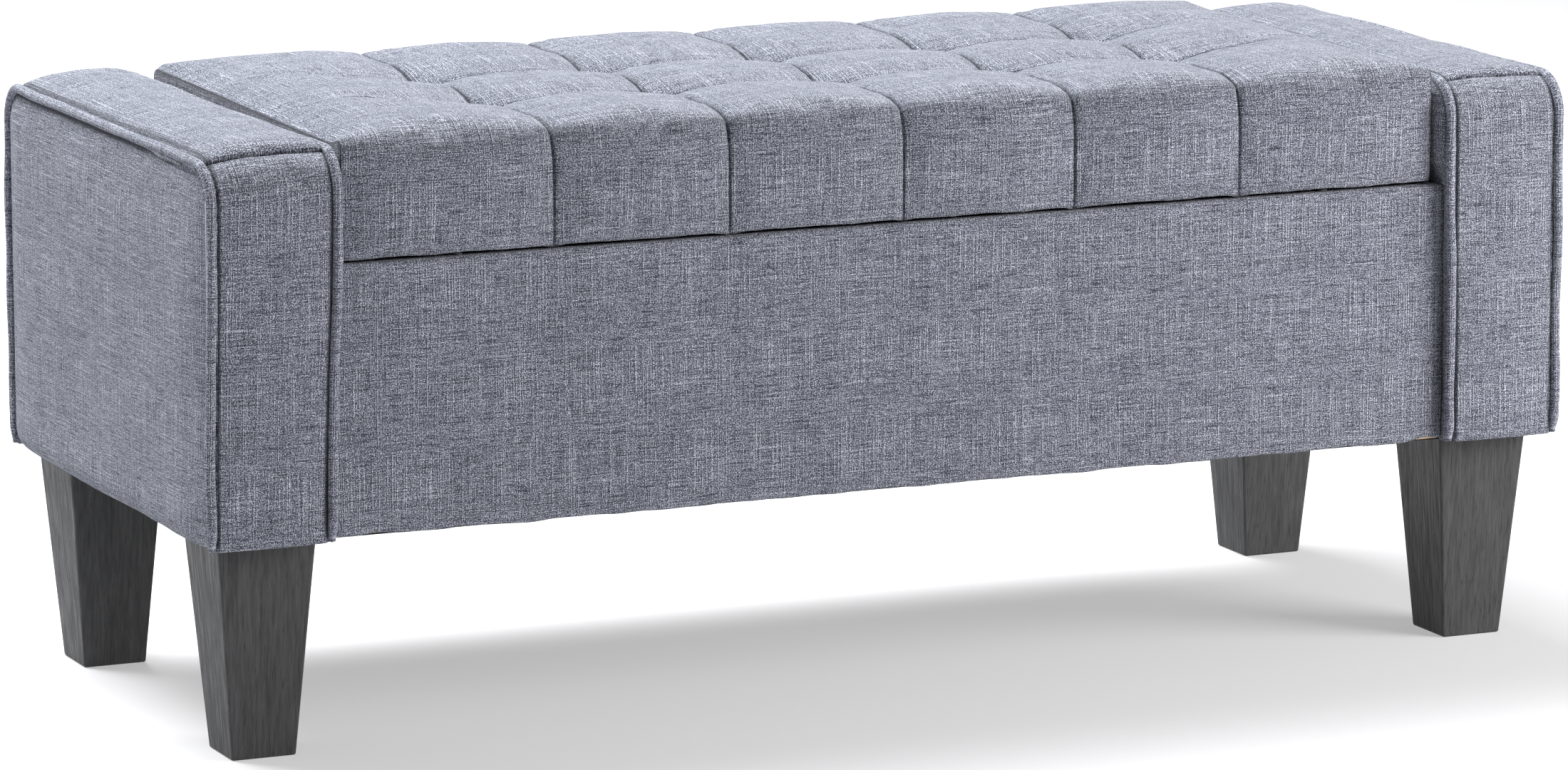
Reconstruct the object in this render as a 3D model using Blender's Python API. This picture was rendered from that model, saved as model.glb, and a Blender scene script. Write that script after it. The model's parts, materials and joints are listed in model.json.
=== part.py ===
"""Upholstered storage bench with a tufted, hinged lid between two padded arms.

Row frame: +X along the bench to the right arm, -Y towards the front, +Z up.
The origin is on the floor under the middle of the bench. All lengths are in metres.
"""
import math

import bmesh
import bpy
from mathutils import Vector

# ---------------------------------------------------------------- driving dimensions
LENGTH = 1.120              # between the centres of the two outer pipings
DEPTH = 0.4594              # between the centres of the front and back pipings
ARM_WIDTH = 0.0935          # between the centres of an arm's two pipings
ARM_TOP = 0.4492            # height of the pipings' centres along the arm
UNDERSIDE = 0.1658          # height of the frame's underside over the floor
CORNER_RADIUS = 0.030       # of the arm's outline, at the pipings' centres
PIPING_RADIUS = 0.00375

GAP = 0.0004                # between touching pieces
BITE = 0.0008               # how deep a stud or rivet is set into its plate
BEYOND = 0.010              # how far a cutting tool stands out of what it cuts
BOARD = 0.012               # plywood of the arms, front, back and bottom
PADDING = 0.0095            # from a board to the pipings' centres
SKIN = 0.0012               # lining and webbing fabric
FACING_PAD = 0.0015         # from an inner piping's centre to the arm's inner board
SIDE_PAD = 0.011            # from an outer piping's centre to the arm's outer board
SWELL = 0.0015              # how far the padded strip stands out over the pipings' centres
TOP_SWELL = 0.006           # and how much further it does so on top
SIDE_SWELL = 0.0025         # how far a side pad does so

LID_FRONT = -0.222
LID_BACK = 0.198
LID_HALF_LENGTH = 0.4495
LID_BOTTOM = 0.3716
LID_CROWN = 0.470
LID_EDGE_PAD = 0.0078       # cover and wadding in front of the lid board and at its ends
LID_BACK_PAD = 0.004        # and behind it, where the hinges are screwed on
LID_BOARD = 0.015
LID_EDGE_ROUNDING = 0.014

RIM = 0.3672                # top of the box boards
BOX_FACE = 0.2197           # outer face of the upholstered box front and back
BOX_PAD = 0.0038            # cover and wadding on the box front and back
BOX_SIDE = 0.018            # side boards of the box
BOX_HALF_LENGTH = 0.4445    # inside, between its side boards
COVER_END = 0.0025          # from an inner piping's centre to the end of a box cover
HINGE_RAIL_DEPTH = 0.020
HINGE_RAIL_HEIGHT = 0.040
LEG_RAIL_HEIGHT = 0.025

BUMPER_RADIUS = 0.0045
BUMPER_CHAMFER = 0.0008
BUMPER_X = 0.360

LEG_TOP_WIDTH = 0.0766
LEG_FOOT_WIDTH = 0.0504
LEG_X = 0.509
LEG_Y = 0.1686
LEG_EDGE_ROUNDING = 0.0016

BOLT_RADIUS = 0.004
BOLT_CLEARANCE = 0.0005
BOLT_IN_LEG = 0.030
BOLT_HOLE_SPARE = 0.001     # depth of the leg's hole below the stud
DUST_COVER_HOLE = 0.006     # radius of the stud's hole in the dust cover
WASHER_RADIUS = 0.0090
WASHER = 0.0016
NUT_RADIUS = 0.0065
NUT = 0.0064
BOLT_OVER_NUT = 0.0030

BARREL_RADIUS = 0.003       # of the butt hinges
HINGE_PIN_RADIUS = 0.0014
HINGE_BORE_RADIUS = 0.0017
HINGE_LENGTH = 0.064
HINGE_KNUCKLES = 5
HINGE_LEAF = 0.0014
HINGE_LEAF_WIDTH = 0.0235   # from the pin's centre to the leaf's edge
HINGE_PIN_HEAD = 0.0027     # radius of the pin's heads
HINGE_PIN_END = 0.0016      # how far the pin stands out of the barrel
HINGE_X = 0.300
HINGE_Y = 0.2065
HINGE_Z = RIM + GAP + BARREL_RADIUS

STAY_REACH = (-0.100, -0.022)       # from the lid's axis to the stay's pivot on the lid
STAY_LINK = (0.0565, 0.1025)        # from the link's lower pivot to its upper one
STAY_BAR = 0.0018                   # thickness of the flat bars
STAY_BAR_HALF_WIDTH = 0.0075
STAY_STUD_RADIUS = 0.0028
STAY_CLEARANCE = 0.0005
STAY_PLATE = 0.0016         # steel of the box bracket and of the lid bracket's ear
STAY_BOX_PLATE = (0.014, 0.022)     # its half width and half height
STAY_LID_PLATE = 0.0014     # steel of the lid bracket's foot
STAY_LID_FOOT = (0.013, 0.020)      # its width and half length
STAY_EAR_HALF_WIDTH = 0.008

ROUND = 20                  # sides of the round pieces
ARC_STEPS = 6               # segments of a quarter turn in an outline

# ---------------------------------------------------------------- derived dimensions
OUTER_X = LENGTH / 2
INNER_X = OUTER_X - ARM_WIDTH
FACE_Y = DEPTH / 2
BOARD_Y = FACE_Y - PADDING                  # outer face of the arm's end boards
FRAME_BOTTOM = UNDERSIDE + SKIN + GAP / 2   # boards stand on the dust cover
INNER_BOARD_X = (INNER_X + FACING_PAD, INNER_X + FACING_PAD + BOARD)
OUTER_BOARD_X = (OUTER_X - SIDE_PAD - BOARD, OUTER_X - SIDE_PAD)
BETWEEN_X = (INNER_BOARD_X[1] + GAP, OUTER_BOARD_X[0] - GAP)
BOX_SIDE_X = (BOX_HALF_LENGTH, BOX_HALF_LENGTH + BOX_SIDE)
BOX_BOARD_Y = (BOX_FACE - BOX_PAD - GAP - BOARD, BOX_FACE - BOX_PAD - GAP)
STAY_PIVOT = (HINGE_Y - STAY_LINK[0], HINGE_Z - STAY_LINK[1])
STAY_ELBOW = (STAY_PIVOT[0] + STAY_REACH[0], STAY_PIVOT[1] + STAY_REACH[1])
STAY_LID_PIVOT = (HINGE_Y + STAY_REACH[0], HINGE_Z + STAY_REACH[1])


# ---------------------------------------------------------------- materials
def material(name, color, roughness, metallic=0.0):
    made = bpy.data.materials.new(name)
    made.use_nodes = True
    shader = made.node_tree.nodes["Principled BSDF"]
    shader.inputs["Base Color"].default_value = (*color, 1.0)
    shader.inputs["Roughness"].default_value = roughness
    shader.inputs["Metallic"].default_value = metallic
    return made


def make_materials():
    return {
        "linen": material("linen", (0.20, 0.215, 0.265), 0.92),
        "plywood": material("plywood", (0.58, 0.43, 0.27), 0.70),
        "leg_wood": material("leg_wood", (0.045, 0.046, 0.049), 0.55),
        "lining": material("lining", (0.035, 0.035, 0.040), 0.90),
        "steel": material("steel", (0.42, 0.42, 0.43), 0.35, 1.0),
        "rubber": material("rubber", (0.03, 0.03, 0.03), 0.80),
    }


# ---------------------------------------------------------------- shape helpers
def link_mesh(name, mesh, location, surface):
    piece = bpy.data.objects.new(name, mesh)
    piece.location = location
    mesh.materials.append(surface)
    bpy.context.collection.objects.link(piece)
    return piece


def mesh_from(name, points, faces):
    """A closed mesh whose faces all point outwards."""
    shape = bmesh.new()
    corners = [shape.verts.new(point) for point in points]
    for face in faces:
        shape.faces.new([corners[index] for index in face])
    bmesh.ops.recalc_face_normals(shape, faces=shape.faces)
    mesh = bpy.data.meshes.new(name)
    shape.to_mesh(mesh)
    shape.free()
    return mesh


def ring_faces(rows, count):
    """Quads between successive rings of count points, and a cap on each end."""
    faces = []
    for row in range(rows - 1):
        for step in range(count):
            after = (step + 1) % count
            low, high = row * count, (row + 1) * count
            faces.append((low + step, low + after, high + after, high + step))
    faces.append(tuple(range(count)))
    faces.append(tuple(range((rows - 1) * count, rows * count)))
    return faces


def box(name, lows, highs, surface):
    """A board or block given by its lowest and highest corners."""
    centre = (Vector(lows) + Vector(highs)) / 2
    half = (Vector(highs) - Vector(lows)) / 2
    ring = ((-1, -1), (1, -1), (1, 1), (-1, 1))
    points = [(x * half.x, y * half.y, z * half.z) for z in (-1, 1) for x, y in ring]
    return link_mesh(name, mesh_from(name, points, ring_faces(2, 4)), centre, surface)


def prism(name, outline, x_range, surface):
    """An outline in the Y-Z plane, extruded along X."""
    half = (x_range[1] - x_range[0]) / 2
    points = [(x, y, z) for x in (-half, half) for y, z in outline]
    mesh = mesh_from(name, points, ring_faces(2, len(outline)))
    return link_mesh(name, mesh, (sum(x_range) / 2, 0, 0), surface)


def turned(name, profile, location, surface, axis="Z"):
    """A round piece: profile lists (radius, distance along the axis)."""
    points = []
    for radius, along in profile:
        for step in range(ROUND):
            angle = 2 * math.pi * step / ROUND
            across, up = radius * math.cos(angle), radius * math.sin(angle)
            points.append((along, across, up) if axis == "X" else (across, up, along))
    mesh = mesh_from(name, points, ring_faces(len(profile), ROUND))
    mesh.shade_smooth()
    mesh.set_sharp_from_angle(angle=math.radians(35))
    return link_mesh(name, mesh, location, surface)


def rod_along_x(name, radius, x_range, centre_yz, surface):
    half = abs(x_range[1] - x_range[0]) / 2
    place = (sum(x_range) / 2, *centre_yz)
    return turned(name, [(radius, -half), (radius, half)], place, surface, axis="X")


def combine(piece, tool, operation):
    """Join the tool to the piece (UNION) or cut it away (DIFFERENCE)."""
    bpy.context.view_layer.update()
    cut = piece.modifiers.new(operation, "BOOLEAN")
    cut.operation = operation
    cut.object = tool
    result = piece.evaluated_get(bpy.context.evaluated_depsgraph_get())
    piece.data = bpy.data.meshes.new_from_object(result)
    piece.modifiers.clear()
    bpy.data.objects.remove(tool)


def round_edges(piece, width, segments):
    bevel = piece.modifiers.new("rounding", "BEVEL")
    bevel.width = width
    bevel.segments = segments
    bevel.limit_method = "ANGLE"
    bevel.angle_limit = math.radians(40)
    return piece


def pivot(name, location, parent=None):
    """An empty on a joint's axis, which its pieces are parented to."""
    axis = bpy.data.objects.new(name, None)
    axis.location = location
    bpy.context.collection.objects.link(axis)
    if parent is not None:
        attach(axis, parent)
    return axis


def attach(piece, parent):
    bpy.context.view_layer.update()
    piece.parent = parent
    piece.matrix_parent_inverse = parent.matrix_world.inverted()


def mirrored(x_range, sign):
    """The same stretch of X on the side given by sign."""
    return tuple(sorted((sign * x_range[0], sign * x_range[1])))


def arc(centre, radius, start, end):
    """Points of an arc in the Y-Z plane, angles in degrees."""
    points = []
    for step in range(ARC_STEPS + 1):
        angle = math.radians(start + (end - start) * step / ARC_STEPS)
        points.append((centre[0] + radius * math.cos(angle), centre[1] + radius * math.sin(angle)))
    return points


def arm_arch(inset, bottom, rise=0.0):
    """The arm's side outline as an arch, from its front foot over the top to its back foot."""
    radius = CORNER_RADIUS - inset
    half = FACE_Y - inset
    top = ARM_TOP - inset + rise
    front = arc((-half + radius, top - radius), radius, 180, 90)
    back = arc((half - radius, top - radius), radius, 90, 0)
    return [(-half, bottom), *front, *back, (half, bottom)]


# ---------------------------------------------------------------- box
def make_box(looks):
    inner_y, outer_y = BOX_BOARD_Y
    between = BOX_SIDE_X[0] - GAP
    inside_y = inner_y - GAP
    wood = looks["plywood"]
    ends = BOX_SIDE_X[1]
    pieces = [
        box("front_panel", (-ends, -outer_y, FRAME_BOTTOM), (ends, -inner_y, RIM), wood),
        box("back_panel", (-ends, inner_y, FRAME_BOTTOM), (ends, outer_y, RIM), wood),
        box("bottom_panel", (-between, -inside_y, FRAME_BOTTOM),
            (between, inside_y, FRAME_BOTTOM + BOARD), wood),
        box("hinge_rail", (-between, inside_y - HINGE_RAIL_DEPTH, RIM - HINGE_RAIL_HEIGHT),
            (between, inside_y, RIM), wood),
    ]
    for side, sign in (("left", -1), ("right", 1)):
        x_low, x_high = mirrored(BOX_SIDE_X, sign)
        pieces.append(box(side + "_box_side", (x_low, -inside_y, FRAME_BOTTOM),
                          (x_high, inside_y, RIM), wood))
    return pieces


def lining_outline(inset, open_top):
    """The box's inner section, stepping forward around the hinge rail."""
    back = BOX_BOARD_Y[0] - 2 * GAP
    rail_y = back - HINGE_RAIL_DEPTH
    rail_z = RIM - HINGE_RAIL_HEIGHT - GAP
    floor = FRAME_BOTTOM + BOARD + GAP
    top = RIM - GAP + open_top
    return [
        (-back + inset, floor + inset),
        (back - inset, floor + inset),
        (back - inset, rail_z - inset),
        (rail_y - inset, rail_z - inset),
        (rail_y - inset, top),
        (-back + inset, top),
    ]


def make_storage_lining(looks):
    end = BOX_SIDE_X[0] - GAP
    lining = prism("storage_lining", lining_outline(0.0, 0.0), (-end, end), looks["lining"])
    hollow = prism("lining_hollow", lining_outline(SKIN, BEYOND), (SKIN - end, end - SKIN), looks["lining"])
    combine(lining, hollow, "DIFFERENCE")
    return [lining]


def make_box_covers(looks):
    end = INNER_X - COVER_END
    back = BOX_FACE - BOX_PAD
    linen = looks["linen"]
    return [
        box("front_cover", (-end, -BOX_FACE, UNDERSIDE), (end, -back, RIM), linen),
        box("back_cover", (-end, back, UNDERSIDE), (end, BOX_FACE, RIM), linen),
    ]


def make_dust_cover(looks):
    """Black cloth under the whole frame, with a hole for each leg's stud."""
    end = OUTER_BOARD_X[1] - GAP
    side = BOX_BOARD_Y[1]
    cover = box("dust_cover", (-end, -side, UNDERSIDE), (end, side, UNDERSIDE + SKIN - GAP),
                looks["lining"])
    for x in (-LEG_X, LEG_X):
        for y in (-LEG_Y, LEG_Y):
            profile = [(DUST_COVER_HOLE, -BEYOND), (DUST_COVER_HOLE, BEYOND)]
            hole = turned("stud_hole", profile, (x, y, UNDERSIDE), looks["lining"])
            combine(cover, hole, "DIFFERENCE")
    return [cover]


def make_bumpers(looks):
    """Rubber pads on the front rim that the closed lid rests on."""
    height = LID_BOTTOM - RIM - 2 * GAP
    middle_y = -sum(BOX_BOARD_Y) / 2
    profile = [
        (BUMPER_RADIUS, 0.0),
        (BUMPER_RADIUS, height - BUMPER_CHAMFER),
        (BUMPER_RADIUS - BUMPER_CHAMFER, height),
    ]
    pieces = []
    for side, sign in (("left", -1), ("right", 1)):
        place = (sign * BUMPER_X, middle_y, RIM + GAP)
        pieces.append(turned(side + "_bumper", profile, place, looks["rubber"]))
    return pieces


# ---------------------------------------------------------------- arms
def make_arm_frame(side, sign, looks):
    wood = looks["plywood"]
    outline = arm_arch(PADDING, FRAME_BOTTOM)
    corner = CORNER_RADIUS - PADDING
    board_top = ARM_TOP - PADDING
    x_low, x_high = mirrored(BETWEEN_X, sign)
    end_top = board_top - corner
    end_inner = BOARD_Y - BOARD
    rail_end = end_inner - GAP
    pieces = [
        prism(side + "_inner_side", outline, mirrored(INNER_BOARD_X, sign), wood),
        prism(side + "_outer_side", outline, mirrored(OUTER_BOARD_X, sign), wood),
        box(side + "_arm_front_board", (x_low, -BOARD_Y, FRAME_BOTTOM), (x_high, -end_inner, end_top), wood),
        box(side + "_arm_back_board", (x_low, end_inner, FRAME_BOTTOM), (x_high, BOARD_Y, end_top), wood),
        box(side + "_arm_top_board", (x_low, corner - BOARD_Y, board_top - BOARD),
            (x_high, BOARD_Y - corner, board_top), wood),
    ]
    rail = box(side + "_leg_rail", (x_low, -rail_end, FRAME_BOTTOM),
               (x_high, rail_end, FRAME_BOTTOM + LEG_RAIL_HEIGHT), wood)
    for y in (-LEG_Y, LEG_Y):
        radius = BOLT_RADIUS + BOLT_CLEARANCE
        profile = [(radius, -BEYOND), (radius, LEG_RAIL_HEIGHT + BEYOND)]
        combine(rail, turned("stud_hole", profile, (sign * LEG_X, y, FRAME_BOTTOM), wood), "DIFFERENCE")
    return [*pieces, rail]


def make_arm_upholstery(side, sign, looks):
    linen = looks["linen"]
    beside_piping = PIPING_RADIUS + GAP
    facing_x = (INNER_X - SWELL, INNER_BOARD_X[0] - GAP)
    pad_x = (OUTER_BOARD_X[1] + GAP, OUTER_X + SIDE_SWELL)
    boxing_x = (INNER_X + beside_piping, OUTER_BOARD_X[1])
    outer = arm_arch(-SWELL, UNDERSIDE, rise=TOP_SWELL)
    inner = arm_arch(PADDING - GAP, UNDERSIDE)
    facing = arm_arch(beside_piping, FRAME_BOTTOM)
    side_pad = arm_arch(beside_piping, UNDERSIDE)
    return [
        prism(side + "_arm_boxing", [*outer, *reversed(inner)], mirrored(boxing_x, sign), linen),
        prism(side + "_arm_facing", facing, mirrored(facing_x, sign), linen),
        prism(side + "_side_pad", side_pad, mirrored(pad_x, sign), linen),
    ]


def make_piping(name, x, looks):
    """A covered cord along one edge of an arm, from the front foot to the back foot."""
    curve = bpy.data.curves.new(name, "CURVE")
    curve.dimensions = "3D"
    curve.bevel_depth = PIPING_RADIUS
    curve.bevel_resolution = 1
    curve.use_fill_caps = True
    curve.render_resolution_u = 0
    route = arm_arch(0.0, UNDERSIDE + GAP)
    spline = curve.splines.new("POLY")
    spline.points.add(len(route) - 1)
    for point, (y, z) in zip(spline.points, route):
        point.co = (0, y, z, 1)
    curve.materials.append(looks["linen"])
    piping = bpy.data.objects.new(name, curve)
    piping.location = (x, 0, 0)
    bpy.context.collection.objects.link(piping)
    return piping


# ---------------------------------------------------------------- legs
def make_leg(name, sign_x, sign_y, looks):
    """A square leg that tapers evenly to its foot, with a blind hole for its stud."""
    top = UNDERSIDE - GAP
    points = []
    for z, width in ((0.0, LEG_FOOT_WIDTH), (top, LEG_TOP_WIDTH)):
        half = width / 2
        points += [(x * half, y * half, z) for x, y in ((-1, -1), (1, -1), (1, 1), (-1, 1))]
    mesh = mesh_from(name, points, ring_faces(2, 4))
    place = (sign_x * LEG_X, sign_y * LEG_Y, 0)
    leg = link_mesh(name, mesh, place, looks["leg_wood"])
    round_edges(leg, LEG_EDGE_ROUNDING, 2)
    bpy.context.view_layer.update()
    leg.data = bpy.data.meshes.new_from_object(leg.evaluated_get(bpy.context.evaluated_depsgraph_get()))
    leg.modifiers.clear()
    radius = BOLT_RADIUS + BOLT_CLEARANCE
    profile = [(radius, top - BOLT_IN_LEG - BOLT_HOLE_SPARE), (radius, top + BEYOND)]
    combine(leg, turned("stud_hole", profile, place, looks["leg_wood"]), "DIFFERENCE")
    return leg


def make_leg_stud(name, sign_x, sign_y, looks):
    """A threaded stud from the leg up through the rail, with its washer and nut on top."""
    rail_top = FRAME_BOTTOM + LEG_RAIL_HEIGHT + GAP
    start = UNDERSIDE - GAP - BOLT_IN_LEG
    washer_top = rail_top + WASHER
    nut_top = washer_top + NUT
    profile = [
        (BOLT_RADIUS, start),
        (BOLT_RADIUS, rail_top),
        (WASHER_RADIUS, rail_top),
        (WASHER_RADIUS, washer_top),
        (NUT_RADIUS, washer_top),
        (NUT_RADIUS, nut_top),
        (BOLT_RADIUS, nut_top),
        (BOLT_RADIUS, nut_top + BOLT_OVER_NUT),
    ]
    return turned(name, profile, (sign_x * LEG_X, sign_y * LEG_Y, 0), looks["steel"])


# ---------------------------------------------------------------- lid
def make_lid(looks):
    pad = LID_EDGE_PAD
    board_low = LID_BOTTOM + SKIN + GAP
    board_high = board_low + LID_BOARD
    end = LID_HALF_LENGTH - pad - GAP
    front, back = LID_FRONT + pad + GAP, LID_BACK - LID_BACK_PAD - GAP
    cushion = box("lid_cushion", (-LID_HALF_LENGTH, LID_FRONT, LID_BOTTOM),
                  (LID_HALF_LENGTH, LID_BACK, LID_CROWN), looks["linen"])
    round_edges(cushion, LID_EDGE_ROUNDING, 3)
    cushion.modifiers["rounding"].limit_method = "WEIGHT"
    soften_upper_edges(cushion)
    bpy.context.view_layer.update()
    softened = cushion.evaluated_get(bpy.context.evaluated_depsgraph_get())
    cushion.data = bpy.data.meshes.new_from_object(softened)
    cushion.modifiers.clear()
    pocket = box("pocket", (-end - GAP, front - GAP, LID_BOTTOM - BEYOND),
                 (end + GAP, back + GAP, board_high + GAP), looks["linen"])
    combine(cushion, pocket, "DIFFERENCE")
    return [
        box("lid_board", (-end, front, board_low), (end, back, board_high), looks["plywood"]),
        cushion,
        box("lid_lining", (GAP - end, front + GAP, LID_BOTTOM), (end - GAP, back - GAP, LID_BOTTOM + SKIN),
            looks["lining"]),
    ]


def soften_upper_edges(cushion):
    """Mark the cushion's upper and upright edges for rounding, and leave its bottom edges sharp."""
    mesh = cushion.data
    weights = mesh.attributes.new("bevel_weight_edge", "FLOAT", "EDGE")
    for edge in mesh.edges:
        is_bottom = all(mesh.vertices[index].co.z < 0 for index in edge.vertices)
        weights.data[edge.index].value = 0.0 if is_bottom else 1.0


# ---------------------------------------------------------------- hinges
def make_leaf(name, x, moving, looks):
    """One leaf of a butt hinge: a plate, its own knuckles, and the bore for the pin."""
    steel = looks["steel"]
    half = HINGE_LENGTH / 2
    if moving:
        z_range = (LID_BOTTOM - GAP - HINGE_LEAF, LID_BOTTOM - GAP)
    else:
        z_range = (RIM + GAP, RIM + GAP + HINGE_LEAF)
    edge_y = HINGE_Y - HINGE_LEAF_WIDTH
    leaf = box(name, (x - half, edge_y, z_range[0]), (x + half, HINGE_Y, z_range[1]), steel)
    barrel = rod_along_x("barrel", BARREL_RADIUS, (x - half, x + half), (HINGE_Y, HINGE_Z), steel)
    combine(leaf, barrel, "UNION")
    knuckle = HINGE_LENGTH / HINGE_KNUCKLES
    for index in range(HINGE_KNUCKLES):
        belongs_to_moving = index % 2 == 1
        if belongs_to_moving == moving:
            continue
        start = x - half + index * knuckle
        reach = BARREL_RADIUS + GAP
        low = (start - GAP / 2, HINGE_Y - reach, HINGE_Z - 2 * reach)
        high = (start + knuckle + GAP / 2, HINGE_Y + reach, HINGE_Z + 2 * reach)
        combine(leaf, box("slot", low, high, steel), "DIFFERENCE")
    bore = rod_along_x("bore", HINGE_BORE_RADIUS, (x - 2 * half, x + 2 * half), (HINGE_Y, HINGE_Z), steel)
    combine(leaf, bore, "DIFFERENCE")
    return leaf


def make_hinge_pin(name, x, looks):
    half = HINGE_LENGTH / 2
    profile = [
        (HINGE_PIN_HEAD, -half - HINGE_PIN_END),
        (HINGE_PIN_HEAD, -half - GAP),
        (HINGE_PIN_RADIUS, -half - GAP),
        (HINGE_PIN_RADIUS, half + GAP),
        (HINGE_PIN_HEAD, half + GAP),
        (HINGE_PIN_HEAD, half + HINGE_PIN_END),
    ]
    return turned(name, profile, (x, HINGE_Y, HINGE_Z), looks["steel"], axis="X")


# ---------------------------------------------------------------- lid stays
def flat_bar(name, start, end, x_range, surface):
    """A flat bar with round ends between two pivots in the Y-Z plane."""
    direction = math.degrees(math.atan2(end[1] - start[1], end[0] - start[0]))
    width = STAY_BAR_HALF_WIDTH
    outline = [*arc(end, width, direction - 90, direction + 90),
               *arc(start, width, direction + 90, direction + 270)]
    return prism(name, outline, x_range, surface)


def bore_bar(bar, x_range, centre, radius, surface):
    reach = (x_range[0] - BEYOND, x_range[1] + BEYOND)
    combine(bar, rod_along_x("bore", radius, reach, centre, surface), "DIFFERENCE")


def make_stay(side, sign, looks):
    """A folding stay: bracket on the box side, lower arm, link, and bracket under the lid.

    The lower arm is as long and lies as the line from the lid's axis to its pivot on the lid,
    so arm, link, lid and box make a parallelogram: the arm turns with the lid and the link
    keeps its direction.
    """
    steel = looks["steel"]
    wall = BOX_SIDE_X[0] - GAP - SKIN - GAP         # face of the box lining
    plate_x = (wall - STAY_PLATE, wall)
    arm_x = (plate_x[0] - GAP - STAY_BAR, plate_x[0] - GAP)
    link_x = (arm_x[0] - 2 * GAP - STAY_BAR, arm_x[0] - 2 * GAP)
    ear_x = (link_x[0] - GAP - STAY_PLATE, link_x[0] - GAP)
    bore = STAY_STUD_RADIUS + STAY_CLEARANCE

    def across(first, last):
        return mirrored((first, last), sign)

    y, z = STAY_PIVOT
    low_x, high_x = across(*plate_x)
    half_y, half_z = STAY_BOX_PLATE
    bracket = box(side + "_stay_bracket", (low_x, y - half_y, z - half_z),
                  (high_x, y + half_y, z + half_z), steel)
    stud = rod_along_x("stud", STAY_STUD_RADIUS, across(arm_x[0] - GAP, plate_x[0] + BITE), (y, z), steel)
    combine(bracket, stud, "UNION")

    arm = flat_bar(side + "_stay_arm", STAY_PIVOT, STAY_ELBOW, across(*arm_x), steel)
    bore_bar(arm, across(*arm_x), STAY_PIVOT, bore, steel)
    rivet = rod_along_x("rivet", STAY_STUD_RADIUS, across(link_x[0] - GAP, arm_x[0] + BITE),
                        STAY_ELBOW, steel)
    combine(arm, rivet, "UNION")

    link = flat_bar(side + "_stay_link", STAY_ELBOW, STAY_LID_PIVOT, across(*link_x), steel)
    for centre in (STAY_ELBOW, STAY_LID_PIVOT):
        bore_bar(link, across(*link_x), centre, bore, steel)

    y, z = STAY_LID_PIVOT
    plate_top = LID_BOTTOM - GAP
    foot_width, foot_half = STAY_LID_FOOT
    low_x, high_x = across(ear_x[0] - foot_width, ear_x[1])
    lid_bracket = box(side + "_lid_bracket", (low_x, y - foot_half, plate_top - STAY_LID_PLATE),
                      (high_x, y + foot_half, plate_top), steel)
    low_x, high_x = across(*ear_x)
    half = STAY_EAR_HALF_WIDTH
    ear = box("ear", (low_x, y - half, z - half), (high_x, y + half, plate_top - STAY_LID_PLATE / 2), steel)
    combine(lid_bracket, ear, "UNION")
    stud = rod_along_x("stud", STAY_STUD_RADIUS, across(ear_x[1] - BITE, link_x[1] + GAP), (y, z), steel)
    combine(lid_bracket, stud, "UNION")
    return bracket, arm, link, lid_bracket


# ---------------------------------------------------------------- whole bench
def main():
    for old in list(bpy.data.objects):
        bpy.data.objects.remove(old)
    looks = make_materials()
    base = pivot("base_frame", (0, 0, 0))
    lid_axis = pivot("lid_axis", (0, HINGE_Y, HINGE_Z), base)

    fixed = [*make_box(looks), *make_storage_lining(looks), *make_box_covers(looks),
             *make_dust_cover(looks), *make_bumpers(looks)]
    moving = make_lid(looks)
    for side, sign in (("left", -1), ("right", 1)):
        fixed += make_arm_frame(side, sign, looks)
        fixed += make_arm_upholstery(side, sign, looks)
        fixed.append(make_piping(side + "_outer_piping", sign * OUTER_X, looks))
        fixed.append(make_piping(side + "_inner_piping", sign * INNER_X, looks))
        for end, sign_y in (("front", -1), ("back", 1)):
            fixed.append(make_leg(f"{end}_{side}_leg", sign, sign_y, looks))
            fixed.append(make_leg_stud(f"{end}_{side}_leg_stud", sign, sign_y, looks))
        fixed.append(make_leaf(side + "_hinge_fixed_leaf", sign * HINGE_X, False, looks))
        moving.append(make_leaf(side + "_hinge_moving_leaf", sign * HINGE_X, True, looks))
        fixed.append(make_hinge_pin(side + "_hinge_pin", sign * HINGE_X, looks))

        bracket, arm, link, lid_bracket = make_stay(side, sign, looks)
        fixed.append(bracket)
        moving.append(lid_bracket)
        arm_axis = pivot(side + "_stay_arm_axis", (arm.location.x, *STAY_PIVOT), base)
        link_axis = pivot(side + "_stay_link_axis", (link.location.x, *STAY_ELBOW), arm_axis)
        attach(arm, arm_axis)
        attach(link, link_axis)
    for piece in fixed:
        attach(piece, base)
    for piece in moving:
        attach(piece, lid_axis)


main()
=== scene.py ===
"""Looks of the upholstered storage bench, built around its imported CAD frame.

+X runs to the right arm, -Y to the front, +Z up, in metres. Every soft CAD solid is replaced by a
sewn, padded piece, and every CAD part that stays gets a procedural material.
"""
import json
import math
import random

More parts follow.
